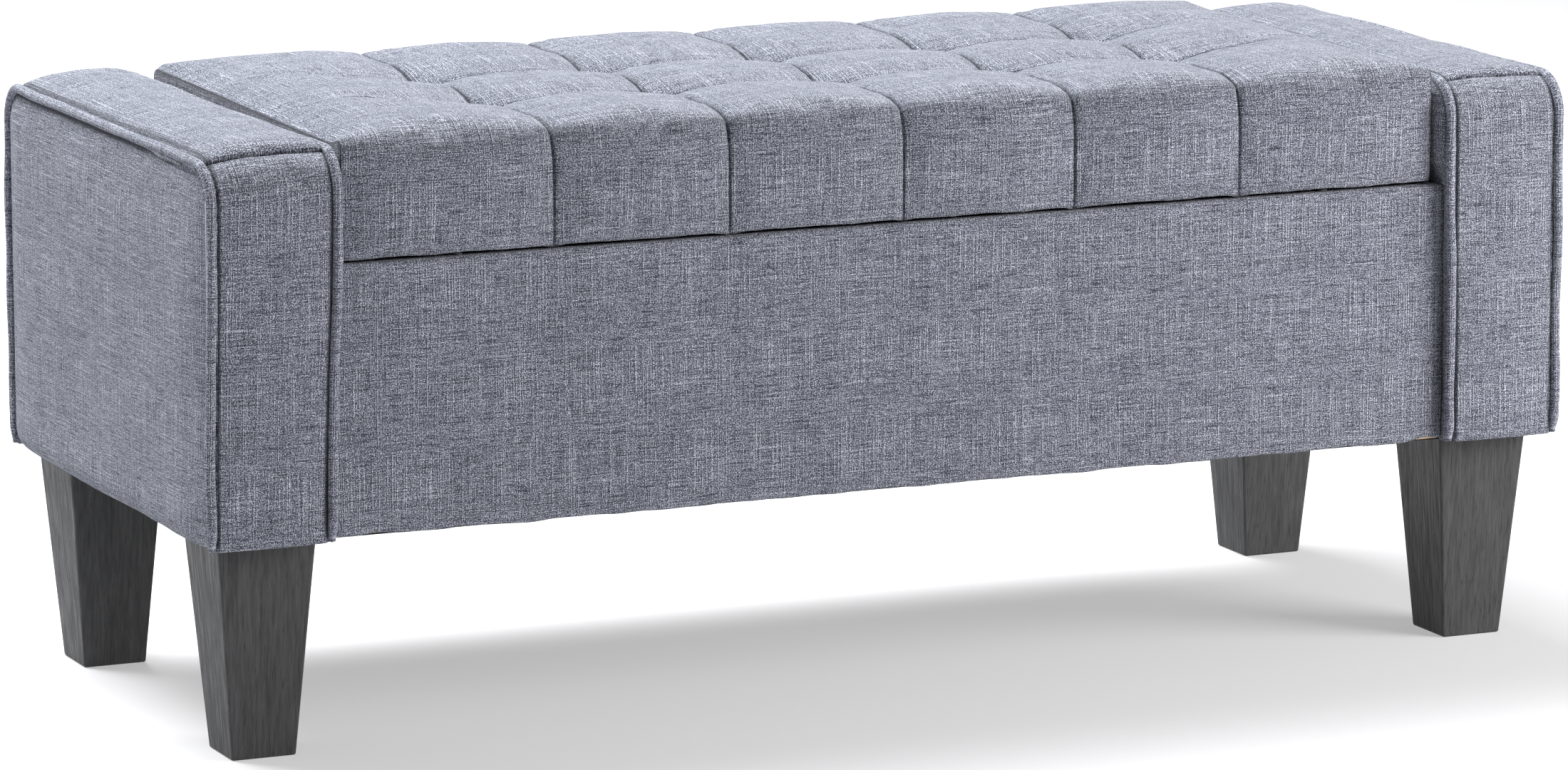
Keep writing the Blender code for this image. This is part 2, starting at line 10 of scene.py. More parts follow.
import bmesh
import bpy
import numpy as np
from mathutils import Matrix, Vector


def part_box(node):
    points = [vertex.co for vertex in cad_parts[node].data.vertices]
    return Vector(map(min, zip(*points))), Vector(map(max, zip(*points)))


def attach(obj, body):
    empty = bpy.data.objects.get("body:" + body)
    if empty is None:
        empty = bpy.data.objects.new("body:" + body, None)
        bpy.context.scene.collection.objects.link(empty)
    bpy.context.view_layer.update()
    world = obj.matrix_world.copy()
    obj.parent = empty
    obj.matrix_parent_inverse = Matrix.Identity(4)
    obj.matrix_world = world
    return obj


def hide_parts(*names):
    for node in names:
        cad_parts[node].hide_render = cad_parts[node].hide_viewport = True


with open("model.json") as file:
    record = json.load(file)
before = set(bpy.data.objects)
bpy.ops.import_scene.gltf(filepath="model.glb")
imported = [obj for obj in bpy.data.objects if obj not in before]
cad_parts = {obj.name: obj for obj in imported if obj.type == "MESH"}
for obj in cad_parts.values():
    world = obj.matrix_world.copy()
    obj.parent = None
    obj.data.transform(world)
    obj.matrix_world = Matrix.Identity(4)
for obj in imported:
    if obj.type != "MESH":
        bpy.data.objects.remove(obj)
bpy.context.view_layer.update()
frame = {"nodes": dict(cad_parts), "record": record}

# ---- sizes read from the frame
PIPING_LOW, PIPING_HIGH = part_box("right_outer_piping")
PIPING_RADIUS = (PIPING_HIGH.x - PIPING_LOW.x) / 2
OUTER_X = (PIPING_HIGH.x + PIPING_LOW.x) / 2
INNER_X = (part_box("right_inner_piping")[0].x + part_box("right_inner_piping")[1].x) / 2
ARM_WIDTH = OUTER_X - INNER_X
FACE_Y = PIPING_HIGH.y - PIPING_RADIUS
ARM_TOP = PIPING_HIGH.z - PIPING_RADIUS
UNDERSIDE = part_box("front_cover")[0].z
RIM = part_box("front_panel")[1].z
LID_LOW, LID_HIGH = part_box("lid_cushion")
SIDE_BOARD_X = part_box("right_outer_side")[1].x

SIDES = (("left", -1), ("right", 1))
TINY = 1e-6
# where on the bolt each kind of piece is cut, so that it differs from its neighbours
CUT_AT = {"side_pad": 0.7, "facing": 1.9, "lid": 2, "piping": 3.1, "box": 5, "band": 7, "lid_end": 8}
CORNER_RADIUS = 0.03  # of the arm's outline
GAP = 0.0004  # between a piece of cloth and what stands beside it
CLEAR = 0.0002  # between a cover and the board that it lies against
SEAM_DEPTH = 0.0012  # of a sewn line
SEAM_WIDTH = 0.0009

# arms as they were sewn: -1 is the left arm, 1 the right one
ARM_LEAN = {-1: (0.0035, 0.008), 1: (0.001, 0.003)}  # drift of the outer and the inner edge to the lid
ARM_TILT = {-1: 0.0045, 1: 0.0005}  # how much higher the inner edge is
TILT_REACH = 0.12  # how far below the arm's top that starts
ARM_PAD = {-1: 0.0098, 1: 0.0066}  # swell of the top pad
PANEL_SWELL = 0.0032  # and of the panels at the front and back
SIDE_CROWN = 0.0118  # of the outer panel's middle over its edges
FACING_SWELL = 0.0022
FACING_BULGE = 0.0068  # how much further the inner panel swells above the rim

# lid cover: sewn lines across and along it, whose crossings are pulled down to the lid board
SEAMS_X = (-0.283, -0.1425, 0, 0.1425, 0.283)
SEAMS_Y = (-0.076, 0.05)
COVER_FRONT = LID_LOW.y + 0.003  # of the flat cover, before its filling swells it
COVER_BACK = LID_HIGH.y - 0.0025
COVER_TOP = LID_HIGH.z - 0.0055
FRONT_ROUND = 0.011
BACK_ROUND = 0.012
CROSS_FALL = 0.0024  # of the sewn lines under the flat cover
ALONG_FALL = 0.005
TUFT_FALL = 0.0215
TUFT_REACH = 0.068
TURN_FALL = 0.0072  # of the sewn lines where they turn down over the front edge
ALONG_FADE = (0.1, 0.162)  # the lines along the lid fade out before its ends
HELD_TO_END = 0.105  # and past this the cloth isn't held down
END_SWELL = 0.0025  # how far the filled ends stand proud
EDGE_ROLL = 0.0036  # fall of the cover where it turns over the lid's ends
LINE_FADE = (0.045, 0.08)  # where the stitches of the lines along the lid end
CLOTH_LIMIT = 0.0135  # the furthest that the filling pushes the cover
BOARD_REACH = (0.02, 0.036)  # up the back face, where the lid board leaves the lines no room
END_FALL_FRONT = 0.006  # of the cover's end seams
END_FALL_BACK = 0.0015
CLOTH_STEP = 0.006
CLOTH_FRAMES = 16
CLOTH_SETTINGS = dict(
    vertex_group_mass="held", quality=5, mass=0.15, use_pressure=True, uniform_pressure_force=6,
    shrink_min=-0.006,  # the cloth is cut larger than it lies, by this share
    tension_stiffness=20, compression_stiffness=20, shear_stiffness=8, bending_stiffness=0.3, air_damping=2,
)
BOARD_LOW, BOARD_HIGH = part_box("lid_board")
BOARD_GAP = 0.0003  # between the cover and the lid board that it wraps
POCKET = BOARD_LOW.y - LID_LOW.y - BOARD_GAP

rng = random.Random(7)


# ---- maths helpers
def smooth(value, low, high):
    """0 below low, 1 above high, and an even rise between."""
    t = np.clip((value - low) / (high - low), 0, 1)
    return t * t * (3 - 2 * t)


def bulge(distance, reach):
    """The profile of a stuffed edge: steep at the seam, level at reach and beyond."""
    t = np.clip(distance / reach, 0, 1)
    return np.sqrt(np.maximum(0, 1 - (1 - t) ** 2))


class Wobble:
    """Smooth, repeatable unevenness: a few sines with random directions and phases."""

    def __init__(self, wavelength, waves=7):
        self.terms = []
        for _ in range(waves):
            angle = rng.uniform(0, 2 * math.pi)
            rate = 2 * math.pi / wavelength * rng.uniform(0.6, 1.5)
            phase = rng.uniform(0, 2 * math.pi)
            self.terms.append((rate * math.cos(angle), rate * math.sin(angle), phase))

    def __call__(self, a, b=0):
        total = 0
        for rate_a, rate_b, phase in self.terms:
            total = total + np.sin(rate_a * a + rate_b * b + phase)
        return total / math.sqrt(len(self.terms))


def spaced(low, high, step, fine_at=(), fine_step=0.0005):
    """Positions from low to high, closer together around the places in fine_at."""
    places = {low, high}
    stops = sorted({low, high, *[p for p in fine_at if low < p < high]})
    for start, end in zip(stops, stops[1:]):
        grow = 1.35
        for origin, sign in ((start, 1), (end, -1)):
            if origin not in fine_at:
                continue
            reach, gap = 0, fine_step
            while gap < step and reach + gap < (end - start) / 2:
                reach += gap
                places.add(origin + sign * reach)
                gap *= grow
        near = sorted(p for p in places if start <= p <= end)
        for first, second in zip(near, near[1:]):
            count = max(1, round((second - first) / step))
            for index in range(1, count):
                places.add(first + (second - first) * index / count)
        places.update((start, end))
    return np.array(sorted(places))


def joined(*axes):
    """One array of points from an array for each direction."""
    return np.stack(axes, axis=-1)


def grid_of(rows, columns):
    """Each row value and each column value, over a whole grid."""
    return np.meshgrid(rows, columns, indexing="ij")


def span(node, axis):
    """Nearest and furthest distance of a CAD node from the middle, along one direction."""
    low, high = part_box(node)
    return sorted((abs(low[axis]), abs(high[axis])))


# ---- mesh helpers
def quads(rows, columns, start=0):
    """Faces of a grid whose points are numbered row by row."""
    firsts = [start + row * columns + column for row in range(rows - 1) for column in range(columns - 1)]
    return [(a, a + 1, a + columns + 1, a + columns) for a in firsts]


class Patchwork:
    """One closed mesh sewn together from grids of points, each with its own cloth coordinates."""

    def __init__(self, name):
        self.name = name
        self.points, self.faces, self.uvs, self.marks = [], [], [], []

    def add(self, grid, uv, marks=None):
        """Add a (rows, columns, 3) grid. Its marks, painted shade, are 1 on a sewn line or a crease and 0
        away from it.
        """
        rows, columns = grid.shape[:2]
        start = len(self.points)
        self.points += grid.reshape(-1, 3).tolist()
        self.uvs += uv.reshape(-1, 2).tolist()
        self.marks += [0] * (rows * columns) if marks is None else marks.ravel().tolist()
        self.faces += quads(rows, columns, start)

    def add_band(self, first, second):
        """Join two closed rings of points with a band."""
        grid = np.stack([np.vstack([first, first[:1]]), np.vstack([second, second[:1]])])
        self.add(grid, grid[..., :2] + CUT_AT["band"])

    def add_lid(self, ring):
        """Close a flat ring of points with one face."""
        start = len(self.points)
        self.points += ring.tolist()
        self.uvs += ring[:, :2].tolist()
        self.marks += [0] * len(ring)
        self.faces.append(tuple(range(start, start + len(ring))))

    def make(self):
        """Sew the grids together where they touch, and add the piece to the scene."""
        mesh = bpy.data.meshes.new(self.name)
        mesh.from_pydata(self.points, [], self.faces)
        mesh.update()
        corners = np.zeros(len(mesh.loops), np.int64)
        mesh.loops.foreach_get("vertex_index", corners)
        layer = mesh.uv_layers.new(name="weave")
        layer.data.foreach_set("uv", np.array(self.uvs, np.float32)[corners].ravel())
        # painted shade: the sewn attribute holds the marks, which darken the cloth in seams and in the
        # creases beside the pipings
        sewn = mesh.attributes.new("sewn", "FLOAT", "POINT")
        sewn.data.foreach_set("value", np.array(self.marks, np.float32))
        shape = bmesh.new()
        shape.from_mesh(mesh)
        bmesh.ops.remove_doubles(shape, verts=shape.verts, dist=0.00002)
        bmesh.ops.dissolve_degenerate(shape, edges=shape.edges, dist=0.00001)
        bmesh.ops.recalc_face_normals(shape, faces=shape.faces)
        shape.to_mesh(mesh)
        shape.free()
        mesh.shade_smooth()
        return add_piece(self.name, mesh)


def ring_of(grid):
    """The outermost points of a grid, once round."""
    return np.concatenate([grid[0, :-1], grid[:-1, -1], grid[-1, :0:-1], grid[:0:-1, 0]])


def closed_panel(name, front, back, uv, marks=None):
    """A padded panel as one closed mesh, from grids of its front and back."""
    panel = Patchwork(name)
    panel.add(front, uv, marks)
    panel.add(back, uv)
    panel.add_band(ring_of(front), ring_of(back))
    return panel.make()


def padded_panel(node, surface, fill, *grids, ending="_cover"):
    """A padded panel of the base, in place of one CAD node."""
    return dress(closed_panel(node + ending, *grids), surface, "base", "linen", node, fill=fill)


def add_piece(name, data):
    """A new object in the scene: a mesh, the camera or a light."""
    piece = bpy.data.objects.new(name, data)
    bpy.context.scene.collection.objects.link(piece)
    return piece


def dress(piece, surface, body, slot, *nodes, fill=None):
    """Give a piece its material and its body, and hide the CAD nodes that it stands for."""
    piece.data.materials.clear()
    piece.data.materials.append(surface)
    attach(piece, body)
    if nodes:
        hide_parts(*nodes)
    return piece


# ---- node helpers
class Nodes:
    """Short names for building a material's node tree."""

    def __init__(self, name):
        self.material = bpy.data.materials.new(name)
        self.material.use_nodes = True
        self.tree = self.material.node_tree
        self.shader = self.tree.nodes["Principled BSDF"]

    def put(self, socket, value):
        """Give a socket a value, or link it to another socket."""
        if isinstance(value, bpy.types.NodeSocket):
            self.tree.links.new(value, socket)
        else:
            socket.default_value = value

    def add(self, kind, inputs=None, **settings):
        """A new node, with its inputs by name or number and its settings."""
        node = self.tree.nodes.new(kind)
        for key, value in settings.items():
            setattr(node, key, value)
        for key, value in (inputs or {}).items():
            self.put(node.inputs[key], value)
        return node

    def math(self, operation, first, second, clamp=False):
        inputs = {0: first, 1: second}
        return self.add("ShaderNodeMath", inputs, operation=operation, use_clamp=clamp).outputs[0]

    def times(self, value, factor):
        return self.math("MULTIPLY", value, factor)

    def clamped(self, value):
        """A value around 0, moved up to lie around a half and held between 0 and 1."""
        return self.math("ADD", value, 0.5, clamp=True)

    def total(self, *terms):
        """The sum of sockets and numbers."""
        result = terms[0]
        for term in terms[1:]:
            result = self.math("ADD", result, term)
        return result

    def weighted(self, *pairs):
        """The sum of values, each times its factor."""
        return self.total(*[self.times(value, factor) for value, factor in pairs])

    def vector(self, operation, first, second):
        inputs = {0: first, "Scale" if operation == "SCALE" else 1: second}
        return self.add("ShaderNodeVectorMath", inputs, operation=operation).outputs[0]

    def place(self):
        """Coordinates of the piece itself, in metres."""
        return self.add("ShaderNodeTexCoord").outputs["Object"]

    def scaled(self, vector, scale, shift=(0,) * 3):
        return self.add("ShaderNodeMapping", {"Vector": vector, "Scale": scale, "Location": shift}).outputs[0]

    def noise(self, vector, scale, detail=0, shift=(0,) * 3, roughness=0.5, centred=True, output="Fac"):
        """Noise stretched by a scale along each direction, centred on 0 if asked."""
        inputs = {"Vector": self.scaled(vector, scale, shift), "Scale": 1, "Detail": detail}
        inputs["Roughness"] = roughness
        value = self.add("ShaderNodeTexNoise", inputs, noise_dimensions="3D").outputs[output]
        return self.math("SUBTRACT", value, 0.5) if centred else value

    def ramp(self, value, low, high, to_low=0, to_high=1):
        """A value's smooth rise from low to high, mapped to another range."""
        inputs = dict(enumerate((value, low, high, to_low, to_high)))
        return self.add("ShaderNodeMapRange", inputs, interpolation_type="SMOOTHSTEP").outputs[0]

    def mix(self, share, first, second):
        """A colour between two, by the second one's share."""
        return self.add("ShaderNodeMix", {0: share, 6: first, 7: second}, data_type="RGBA").outputs[2]

    def bump(self, height, distance, strength):
        inputs = {"Strength": strength, "Distance": distance, "Height": height}
        return self.add("ShaderNodeBump", inputs).outputs[0]

    def set(self, **values):
        """Set inputs of the material's shader, with _ for a space in their names."""
        for key, value in values.items():
            self.put(self.shader.inputs[key.replace("_", " ")], value)


# ---- materials
THREAD_WANDER = 0.0045  # how far threads stray from a straight line
LINEN_TONE = 0.335  # of the cloth between its light and its dark threads
LINEN_COLORS = ((0, (0.027, 0.031, 0.044)), (0.4, (0.163, 0.177, 0.222)), (1, (0.575, 0.6, 0.68)))
# painted shade: the colour that seams and the creases beside the pipings are darkened towards
SEAM_SHADE_COLOR = (0.012, 0.013, 0.02, 1)
FELT_COLOR = (0.03, 0.03, 0.034)


def linen(name, painted_light_factor=1):
    """Blue-grey slub weave: a fine even grain, with thin light and dark threads both ways."""
    n = Nodes(name)
    uv = n.add("ShaderNodeUVMap", uv_map="weave").outputs[0]

    # threads wander a little from a straight line
    noise = n.noise(uv, (7, 7, 1), detail=2, centred=False, output="Color")
    wander = n.vector("SCALE", n.vector("SUBTRACT", noise, (0.5,) * 3), THREAD_WANDER)
    cloth = n.vector("ADD", uv, wander)

    grain = n.noise(cloth, (1150, 1150, 1), detail=1, shift=(0, 0, 4.1))
    upright = n.noise(cloth, (1500, 180, 1), detail=1)
    level = n.noise(cloth, (180, 1500, 1), detail=1, shift=(0, 0, 9.3))
    patches = n.noise(cloth, (55, 75, 1), detail=2, shift=(0, 0, 6.6))
    cloud = n.noise(cloth, (12, 12, 1), detail=3, shift=(0, 0, 3))

    def threads(scale, shift, start, end, least=0):
        """Streaks along the long side of a stretched noise."""
        return n.ramp(n.noise(cloth, scale, shift=shift, centred=False), start, end, least)

    # light threads surface only here and there along their length
    dashes_up = threads((500, 1300, 1), (0, 0, 2.2), 0.36, 0.56, 0.35)
    dashes_level = threads((1300, 500, 1), (0, 0, 1.7), 0.38, 0.58, 0.15)
    light_up = n.times(threads((1250, 14, 1), (3, 1, 5), 0.6, 0.7), dashes_up)
    light_level = n.times(threads((14, 1250, 1), (1, 8, 6), 0.61, 0.71), dashes_level)
    dark_up = n.total(threads((1250, 14, 1), (3.8, 1, 5), 0.6, 0.7),
                      threads((1250, 30, 1), (7, 2, 8), 0.6, 0.7))
    dark_level = threads((40, 1100, 1), (4, 3, 1), 0.6, 0.7)

    light = n.weighted((light_up, 0.42), (light_level, 0.34))
    dark = n.weighted((dark_up, 0.15), (dark_level, 0.24))
    weave = n.weighted((grain, 2.4), (upright, 0.6), (level, 0.6), (patches, 0.04), (cloud, 0.03))
    tone = n.total(weave, light, n.times(dark, -1), LINEN_TONE)
    ramp = n.add("ShaderNodeValToRGB", {0: tone})
    elements = ramp.color_ramp.elements
    elements.new(0.5)
    for element, (place, color) in zip(elements, LINEN_COLORS):
        element.position = place
        # painted light: a factor above 1 makes a brighter copy of the cloth, as for the pipings
        element.color = (*[channel * painted_light_factor for channel in color], 1)

    # painted shade: the sewn marks darken the cloth towards SEAM_SHADE_COLOR in seams and beside the pipings
    sewn = n.add("ShaderNodeAttribute", attribute_name="sewn").outputs["Fac"]
    color = n.mix(n.times(sewn, 0.9), ramp.outputs[0], SEAM_SHADE_COLOR)
    height = n.weighted((upright, 1), (level, 1.2), (grain, 1.3), (light, 0.9), (dark, -0.5))
    n.set(Base_Color=color, Roughness=0.93, Normal=n.bump(height, 0.001, 0.9))
    n.set(Specular_IOR_Level=0.18, Sheen_Weight=0.12, Sheen_Roughness=0.45)
    return n.material


def brushed_oak(name):
    """Dark stained wood with open grain along Z: light streaks stand between dark pores."""
    n = Nodes(name)
    place = n.place()
    broad = n.noise(place, (90, 90, 5), detail=3, roughness=0.6)
    streak = n.noise(place, (420, 420, 11), detail=3, roughness=0.62, shift=(2, 5, 1))
    pores = n.noise(place, (900, 900, 26), detail=2, shift=(5, 1, 4), centred=False)
    pore = n.ramp(pores, 0.4, 0.3)
    tone = n.total(n.weighted((broad, 0.55), (streak, 1.25)), 0.45)
    share = n.math("MULTIPLY", tone, 1, clamp=True)
    color = n.mix(share, (0.011, 0.012, 0.013, 1), (0.064, 0.065, 0.067, 1))
    color = n.mix(n.times(pore, 0.65), color, (0.01, 0.011, 0.012, 1))
    height = n.total(streak, n.times(pore, -0.5))
    roughness = n.ramp(tone, 0.2, 0.8, 0.62, 0.42)
    n.set(Base_Color=color, Roughness=roughness, Normal=n.bump(height, 0.0008, 0.5))
    n.set(Specular_IOR_Level=0.35)
    return n.material


def plywood(name):
    """Raw plywood and rails: pale face grain along X."""
    n = Nodes(name)
    place = n.place()
    grain = n.noise(place, (7, 160, 160), detail=4, roughness=0.6)
    figure = n.noise(place, (3, 22, 22), detail=3, shift=(1, 2, 3))
    tone = n.clamped(n.weighted((grain, 0.9), (figure, 0.9)))
    color = n.mix(tone, (0.36, 0.23, 0.12, 1), (0.72, 0.55, 0.36, 1))
    n.set(Base_Color=color, Roughness=0.7, Normal=n.bump(grain, 0.0005, 0.35))
    return n.material


def felted(name, color):
    """Pressed, non-woven cloth with a dimpled bond pattern."""
    n = Nodes(name)
    place = n.place()
    inputs = {"Vector": n.scaled(place, (450,) * 3), "Scale": 1}
    cells = n.add("ShaderNodeTexVoronoi", inputs, feature="F1")
    fibre = n.noise(place, (900,) * 3, detail=3)
    tone = n.clamped(n.times(fibre, 1.2))
    deep = tuple(c * 0.6 for c in color)
    bright = tuple(c * 1.5 for c in color)
    n.set(Base_Color=n.mix(tone, (*deep, 1), (*bright, 1)), Roughness=0.92)
    n.set(Normal=n.bump(n.total(cells.outputs["Distance"], fibre), 0.0004, 0.4))
    return n.material


def plated_steel(name):
    """Zinc plated sheet steel with faint rolling marks and scuffs."""
    n = Nodes(name)
    place = n.place()
    marks = n.noise(place, (40, 1200, 1200), detail=2)
    cloud = n.noise(place, (120,) * 3, detail=4, shift=(3, 1, 2))
    tone = n.clamped(n.total(n.times(marks, 0.5), cloud))
    n.set(Base_Color=n.mix(tone, (0.38, 0.38, 0.39, 1), (0.62, 0.62, 0.62, 1)), Metallic=1)
    n.set(Roughness=n.ramp(tone, 0.2, 0.8, 0.42, 0.26), Normal=n.bump(marks, 0.0002, 0.2))
    return n.material


def moulded_rubber(name):
    """Black rubber with a fine fleck."""
    n = Nodes(name)
    place = n.place()
    fleck = n.noise(place, (1500,) * 3, detail=2)
    color = n.mix(n.clamped(fleck), (0.02, 0.02, 0.021, 1), (0.045, 0.045, 0.047, 1))
    n.set(Base_Color=color, Roughness=0.8, Normal=n.bump(fleck, 0.0002, 0.3))
    return n.material


def pale_floor(name):
    """The studio floor, which glows a little so that its shadows stay light."""
    n = Nodes(name)
    place = n.place()
    cloud = n.noise(place, (0.6,) * 3, detail=2)
    color = n.mix(n.clamped(cloud), (0.35, 0.35, 0.36, 1), (0.37, 0.37, 0.38, 1))
    n.set(Base_Color=color, Roughness=0.9, Specular_IOR_Level=0.1)
    n.set(Emission_Color=(1, 1, 1, 1), Emission_Strength=0.4)
    return n.material


# ---- arm outline
STRAIGHT = ARM_TOP - CORNER_RADIUS - UNDERSIDE
QUARTER = CORNER_RADIUS * math.pi / 2
ARM_RUN = 2 * (FACE_Y - CORNER_RADIUS)
ARCH_LENGTH = 2 * STRAIGHT + 2 * QUARTER + ARM_RUN
SEAM_S = STRAIGHT + 0.8 * QUARTER  # where the arm's front panel is sewn to its top


def arch_point(s):
    """Point (y, z) and outward direction (y, z) at a distance s along the arm's outline, front foot first."""
    mirrored = s > ARCH_LENGTH / 2
    s = np.where(mirrored, ARCH_LENGTH - s, s)
    turn = np.clip((s - STRAIGHT) / CORNER_RADIUS, 0, math.pi / 2)
    over = np.maximum(0, s - STRAIGHT - QUARTER)
    out_y, out_z = -np.cos(turn), np.sin(turn)
    y = CORNER_RADIUS - FACE_Y + CORNER_RADIUS * out_y + over
    z = np.minimum(UNDERSIDE + s, ARM_TOP - CORNER_RADIUS) + CORNER_RADIUS * out_z
    flip = np.where(mirrored, -1, 1)
    return y * flip, z, out_y * flip, out_z


def lean(side, x, y, z):
    """How far the sewn arm leans along X at a point, most of all at the front and near the top."""
    inner = np.clip((OUTER_X - np.abs(x)) / ARM_WIDTH, 0, 1)
    height = smooth(z, UNDERSIDE, ARM_TOP) * smooth(-y, -0.02, FACE_Y)
    at_outer, at_inner = ARM_LEAN[side]
    return -side * height * (at_outer + (at_inner - at_outer) * inner)


def tilt(side, x, z):
    """How much higher the arm's inner edge was sewn than its outer edge."""
    inner = np.clip((OUTER_X - np.abs(x)) / ARM_WIDTH, 0, 1)
    return ARM_TILT[side] * inner * smooth(z, ARM_TOP - TILT_REACH, ARM_TOP)


# ---- arm pieces
def make_arm_boxing(hand, side, surface):
    """The strip between an arm's two pipings: front panel, top pad and back panel."""
    stops = (SEAM_S, ARCH_LENGTH - SEAM_S)
    s, t = grid_of(spaced(0, ARCH_LENGTH, 0.0045, fine_at=stops), spaced(-1, 1, 0.045))
    y, z, out_y, out_z = arch_point(s)

    past_seam = np.minimum(s - SEAM_S, ARCH_LENGTH - SEAM_S - s)
    across = np.maximum(0, 1 - np.abs(t) ** 2.4)
    panel = PANEL_SWELL * across * (0.75 + 0.25 * smooth(s, 0, 0.05))
    pad = 0.0022 + ARM_PAD[side] * bulge(past_seam, 0.024)
    rise = np.where(past_seam > 0, pad * np.sqrt(across), panel)
    seam = np.exp(-(past_seam / (0.7 * SEAM_WIDTH)) ** 2)
    pinch = 0.001 * np.exp(-np.abs(past_seam) / 0.006)
    uneven = Wobble(0.09)
    fine = Wobble(0.022)
    rise = rise - seam * SEAM_DEPTH - pinch * across
    rise = rise + across * (0.0007 * uneven(s, t * ARM_WIDTH / 2) + 0.00022 * fine(s, t * ARM_WIDTH / 2))
    on_pad = smooth(past_seam, -0.004, 0.01)
    rise = rise - (0.0036 - 0.003 * on_pad) * smooth(np.abs(t), 0.9, 1)

    half = ARM_WIDTH / 2 - 0.0012
    x = side * (OUTER_X - ARM_WIDTH / 2) + t * half
    front = joined(x + lean(side, x, y, z), y + out_y * rise, z + out_z * rise + tilt(side, x, z))
    inside = 0.0085
    back = joined(x, y - out_y * inside, z - out_z * inside)
    uv = joined(x, s)
    # painted shade, as sewn marks: in the seam to the top pad and in the creases beside the pipings
    marks = seam * (np.abs(t) < 0.985)
    edge = smooth(np.abs(t), 0.875, 0.915) * (0.92 - 0.3 * on_pad)
    marks = np.maximum(marks, edge)
    return padded_panel(hand + "_arm_boxing", surface, 0.7, front, back, uv, marks)


def outline_distance(y, z):
    """Distance from the arm's outline, inwards."""
    over_y = np.abs(y) - (FACE_Y - CORNER_RADIUS)
    over_z = z - (ARM_TOP - CORNER_RADIUS)
    corner = np.hypot(np.maximum(over_y, 0), np.maximum(over_z, 0))
    return CORNER_RADIUS - corner - np.minimum(np.maximum(over_y, over_z), 0)


def arm_side_grid(step, edge_step):
    """Grid of (y, z) over the arm's outline; its rows narrow around the rounded corners."""
    z_values = spaced(UNDERSIDE, ARM_TOP, step, fine_at=(UNDERSIDE, ARM_TOP), fine_step=edge_step)
    u_values = spaced(-1, 1, step / FACE_Y, fine_at=(-1, 1), fine_step=edge_step / FACE_Y)
    z, u = grid_of(z_values, u_values)
    above = np.clip(z - (ARM_TOP - CORNER_RADIUS), 0, CORNER_RADIUS)
    half = FACE_Y - CORNER_RADIUS + np.sqrt(CORNER_RADIUS ** 2 - above ** 2)
    return u * half, z


def make_side_pad(hand, side, surface):
    """The arm's crowned outer panel."""
    y, z = arm_side_grid(0.005, 0.0008)
    away = np.maximum(0, outline_distance(y, z))
    crown = SIDE_CROWN * bulge(away, 0.066) - 0.0048
    bottom = -0.0085 * (1 - bulge(z - UNDERSIDE, 0.016))
    uneven = Wobble(0.16)
    fine = Wobble(0.045)
    soft = smooth(away, 0, 0.05)
    rise = crown + bottom + soft * (0.0009 * uneven(y, z) + 0.00025 * fine(y, z))
    x = side * (OUTER_X + rise)
    front = joined(x + lean(side, side * OUTER_X, y, z), y, z)
    back = joined(np.full_like(x, side * (SIDE_BOARD_X + 0.0003)), y * 0.985, z)
    uv = joined(y + CUT_AT["side_pad"], z)
    # painted shade, as sewn marks: in the crease below the piping
    edge = 0.92 * (1 - smooth(away, 0.0048, 0.0078))
    return padded_panel(hand + "_side_pad", surface, 0.6, front, back, uv, edge)


def make_arm_facing(hand, side, surface):
    """The arm's inner panel, which the lid swings past."""
    near, far = span(hand + "_arm_facing", 0)
    y, z = arm_side_grid(0.008, 0.001)
    away = np.maximum(0, outline_distance(y, z))
    over_rim = smooth(z, RIM + 0.006, RIM + 0.026)
    rise = FACING_SWELL * bulge(away, 0.03) - 0.0012 + FACING_BULGE * over_rim * bulge(away, 0.018)
    x = side * (near + GAP - rise) + lean(side, side * INNER_X, y, z) * 0.9
    board_face = span(hand + "_box_side", 0)[1] + CLEAR
    held_off = (z < RIM) & (np.abs(y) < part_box("back_panel")[1].y)
    x = np.where(held_off, side * np.maximum(np.abs(x), board_face), x)
    front = joined(x, y, z + tilt(side, INNER_X, z) * smooth(z, ARM_TOP - 0.06, ARM_TOP))
    back = joined(np.full_like(x, side * far), y * 0.985, z)
    uv = joined(y + CUT_AT["facing"], z)
    # painted shade, as sewn marks: in the crease beside the piping
    edge = 0.8 * (1 - smooth(away, 0.001, 0.004))
    return padded_panel(hand + "_arm_facing", surface, 0.4, front, back, uv, edge)


def make_piping(hand, side, which, surface):
    """A cloth-covered cord sewn into the edge of an arm, with its flange tucked in behind it."""
    place = {"outer": OUTER_X, "inner": INNER_X}[which] * side
    s = spaced(0.0005, ARCH_LENGTH - 0.0005, 0.003)
    y, z, out_y, out_z = arch_point(s)
    drift = Wobble(0.11)
    thick = Wobble(0.03)
    lift = 0.0004 * drift(s, 0)
    sway = 0.0006 * drift(s, 5)
    end = np.minimum(s, ARCH_LENGTH - s)
    tucked = 0.003 * (1 - smooth(end, 0, 0.016))
    radius = PIPING_RADIUS * (1 + 0.035 * thick(s, 0)) * (0.72 + 0.28 * smooth(end, 0, 0.012))
    x = place + sway + lean(side, place, y, z)
    y = y + out_y * (lift - tucked)
    z = z + out_z * (lift - tucked) + tilt(side, place, z)

    sides = 20
    angle = np.linspace(0, 2 * math.pi, sides, endpoint=False)
    along, around = grid_of(np.arange(len(s)), angle)
    reach = radius[along]
    across = np.cos(around) * reach
    outward = np.sin(around) * reach
    points = joined(x[along] + across, y[along] + out_y[along] * outward,
                    z[along] + out_z[along] * outward)
    points = np.concatenate([points, points[:, :1]], axis=1)
    around = np.concatenate([around, np.full((len(s), 1), 2 * math.pi)], axis=1)
    name = f"{hand}_{which}_piping"
    cord = Patchwork(name + "_cord")
    run = np.repeat(s[:, None], sides + 1, axis=1)
    cord.add(points, joined(around * PIPING_RADIUS + CUT_AT["piping"], run))
    cord.add_lid(points[0, :-1])
    cord.add_lid(points[-1, :-1])
    return dress(cord.make(), surface, "base", "linen", name)


